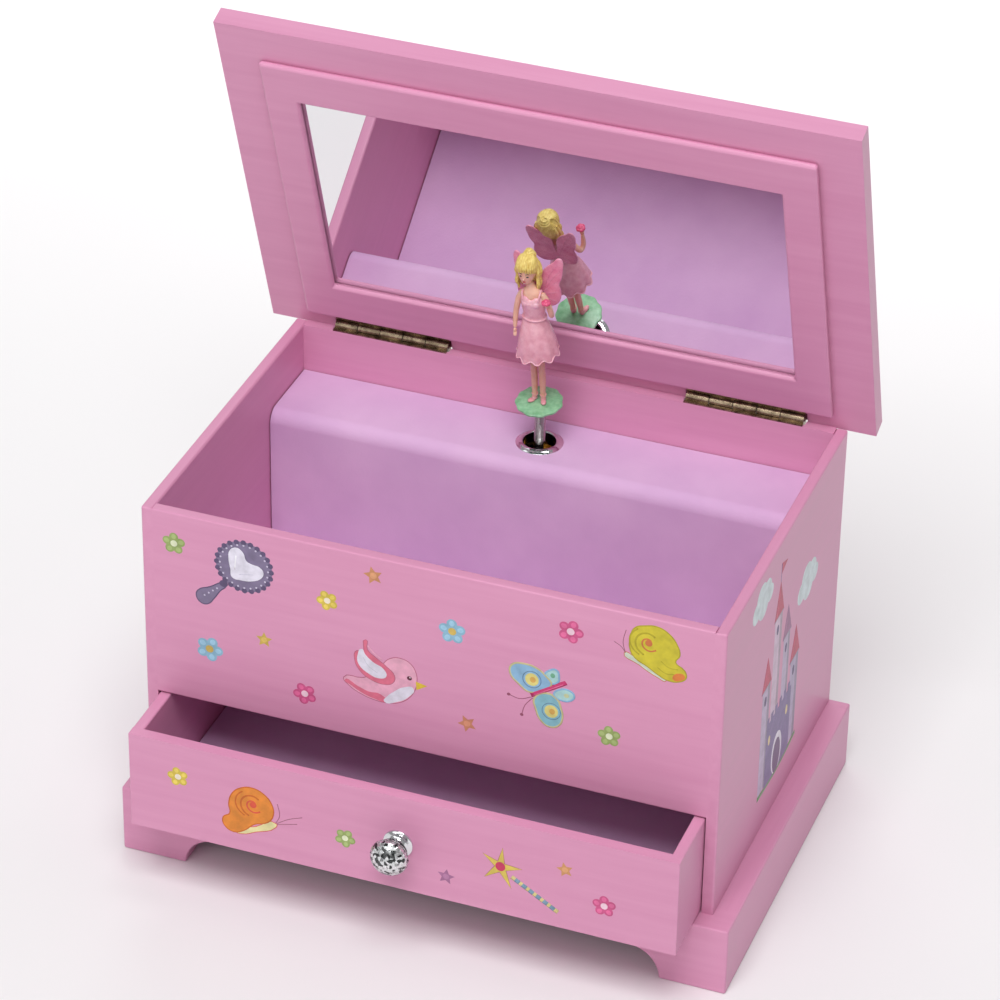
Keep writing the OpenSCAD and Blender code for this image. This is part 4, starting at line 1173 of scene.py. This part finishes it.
def wand():
    """A star on a striped stick."""
    inks = []
    stripes = 12
    for i in range(stripes + 1):
        t = i / stripes
        colour = (126, 158, 180) if i % 2 else (222, 206, 140)
        u, v = 39.2 + 14.6 * t, 41.9 - 8.9 * t
        inks.append(ink_line([(u, v), (u + 1.5, v - 0.9)], 1.7, colour, i % 2))
    rays = [(36.0, 52.6), (42.8, 45.8), (39.2, 37.0), (29.8, 39.4), (29.2, 48.8)]
    outline = []
    for i, ray in enumerate(rays):
        following = rays[(i + 1) % 5]
        inner = ((ray[0] + following[0] + 35.3 * 4) / 6, (ray[1] + following[1] + 45.0 * 4) / 6)
        outline += [ray, inner]
    inks += [ink_shape(outline, (220, 196, 92), 2, False),
             ink_line(outline, 0.4, (176, 122, 92), 3, True, False),
             ink_shape(oval(35.3, 45.0, 1.7, 1.8), (206, 60, 100), 4)]
    return inks


def cloud(u, v, size):
    """Puffs of pale ink that overlap."""
    puffs = ((-0.62, -0.1, 0.42), (-0.15, 0.22, 0.52), (0.38, 0.12, 0.46), (0.72, -0.14, 0.34),
             (0.05, -0.24, 0.5))
    return [ink_shape(oval(u + size * a, v + size * b, size * c, size * c * 0.86), (214, 226, 230), layer)
            for layer, (a, b, c) in enumerate(puffs)]


def tower(u, base, wide, top, peak, wall, roof, layer):
    """A tower: wall, pointed roof, cornice, window and shading."""
    left, right = u - wide / 2, u + wide / 2
    shade = tuple(int(c * 0.82) for c in wall)
    inks = [ink_shape([(left, base), (right, base), (right, top), (left, top)], wall, layer, False),
            ink_shape([(u + wide * 0.2, base), (right, base), (right, top), (u + wide * 0.2, top)], shade,
                      layer + 1, False),
            ink_shape([(left - 1.3, top), (right + 1.3, top), (u, peak)], roof, layer + 1, False),
            ink_line([(left - 1.0, top), (right + 1.0, top)], 0.8, shade, layer + 2),
            ink_shape(oval(u - wide * 0.08, top - 5, wide * 0.15, 1.9), (96, 72, 118), layer + 2)]
    inks.append(ink_line([(u - wide * 0.3, top + 0.8), (u - 0.3, peak - 1.6)], 0.45,
                         tuple(min(255, c + 34) for c in roof), layer + 3))
    return inks


def castle():
    """A fairy-tale castle under two clouds."""
    red, mauve, stone, violet = (196, 62, 98), (158, 96, 140), (196, 178, 206), (128, 110, 158)
    inks = cloud(-16, 124.6, 10.5) + cloud(37, 99.8, 11)
    inks += tower(4, 58, 8, 106, 120, (216, 190, 212), red, 0)
    inks += [ink_line([(4, 119.4), (4, 126.6)], 0.5, violet, 3),
             ink_shape([(4.2, 126.6), (10.6, 124.6), (4.2, 122.4)], red, 3, False)]
    inks += tower(15, 54, 7, 92, 104, stone, mauve, 1)
    inks += tower(-6, 42, 8, 84, 96, stone, red, 2)
    inks += tower(26, 42, 8.5, 76, 89, (186, 170, 200), red, 2)
    inks += [ink_shape([(-3, 40), (24, 40), (24, 66), (-3, 66)], violet, 5, False)]
    for i in range(6):
        left = -3 + 4.6 * i
        merlon = [(left, 65.6), (left + 2.4, 65.6), (left + 2.4, 68.6), (left, 68.6)]
        inks.append(ink_shape(merlon, violet, 5.4, False))
    inks += [ink_shape(oval(10, 47.5, 5.6, 8.2, 0, 10), (232, 226, 238), 6),
             ink_shape(oval(10, 46.4, 4.2, 6.8, 0, 10), (112, 84, 126), 7)]
    inks += [ink_shape(oval(u, 58.6, 1.1, 1.9), (236, 214, 150), 6) for u in (0.4, 19.6)]
    inks += [ink_line([(-10, 41), (0, 40.2), (12, 39.6), (24, 40.2), (32, 41.2)], 1.8, (120, 158, 112), 8)]
    return inks


FLOWERS = {
    "green": ((150, 168, 100), (228, 234, 200)),
    "yellow": ((212, 188, 76), (238, 226, 206)),
    "blue": ((140, 184, 208), (208, 178, 92)),
    "rose": ((206, 88, 138), (240, 206, 220)),
}
FRONT_FLOWERS = [("green", -88.6, 124.0, 4.0), ("yellow", -34.8, 115.0, 3.7), ("blue", -76.8, 85.4, 4.7),
                 ("blue", 8.4, 113.9, 4.6), ("rose", -43.0, 76.2, 4.1), ("rose", 48.4, 124.0, 4.3),
                 ("green", 62.4, 87.0, 3.9)]
FRONT_STARS = [(-57.2, 94.0, 3.0, (206, 176, 84)), (-18.8, 128.6, 3.5, (204, 142, 98)),
               (13.9, 79.2, 3.4, (200, 132, 102))]
DRAWER_FLOWERS = [("yellow", -78.0, 50.0, 3.7), ("green", -18.7, 41.3, 3.6), ("rose", 70.9, 39.0, 4.0)]
DRAWER_STARS = [(16.6, 35.6, 3.1, (170, 112, 152)), (57.3, 49.8, 3.0, (208, 150, 100))]


def print_on(name, inks, place, body):
    """Lays one motif's inks on a face."""
    motif = joined(name, inks)
    motif.data.transform(place)
    settle(motif, body, INK, ())


def face_matrix(across, outward, origin):
    """A face's own (across, up, outward) directions, standing at a point in metres."""
    across, outward = Vector(across), Vector(outward)
    columns = Matrix((across, outward.cross(across), outward)).transposed()
    return Matrix.Translation(origin) @ columns.to_4x4()


def build_prints():
    front = face_matrix((1, 0, 0), (0, -1, 0), (0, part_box("front_panel")[0].y, 0))
    drawer = face_matrix((1, 0, 0), (0, -1, 0), (0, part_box("drawer_front")[0].y, 0))
    half_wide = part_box("right_side_panel")[1].x
    right = face_matrix((0, 1, 0), (1, 0, 0), (half_wide, 0, 0))
    left = face_matrix((0, -1, 0), (-1, 0, 0), (-half_wide, 22 * MM, 0))
    for i, (kind, u, v, radius) in enumerate(FRONT_FLOWERS):
        inks = flower(u, v, radius, *FLOWERS[kind], turn=18 + 25 * i)
        print_on(f"{kind}_flower_{i}", inks, front, "case")
    for i, (u, v, radius, colour) in enumerate(FRONT_STARS):
        print_on(f"small_star_{i}", star(u, v, radius, colour, turn=90 + 14 * i), front, "case")
    print_on("hand_mirror_print", hand_mirror(), front, "case")
    print_on("bird_print", bird(), front, "case")
    print_on("butterfly_print", butterfly(), front, "case")
    print_on("yellow_snail_print", yellow_snail(), front, "case")
    for i, (kind, u, v, radius) in enumerate(DRAWER_FLOWERS):
        inks = flower(u, v, radius, *FLOWERS[kind], turn=30 + 31 * i)
        print_on(f"drawer_{kind}_flower_{i}", inks, drawer, "drawer")
    for i, (u, v, radius, colour) in enumerate(DRAWER_STARS):
        print_on(f"drawer_star_{i}", star(u, v, radius, colour, turn=84 + 20 * i), drawer, "drawer")
    print_on("orange_snail_print", orange_snail(), drawer, "drawer")
    print_on("wand_print", wand(), drawer, "drawer")
    print_on("right_castle_print", castle(), right, "case")
    print_on("left_castle_print", castle(), left, "case")


build_case()
build_insert()
build_lid()
build_hinges()
build_drawer()
dress_movement()
build_knob()
build_spring()
build_stand()
build_legs()
build_dress()
build_upper_body()
build_head()
build_hair()
build_wings()
build_prints()
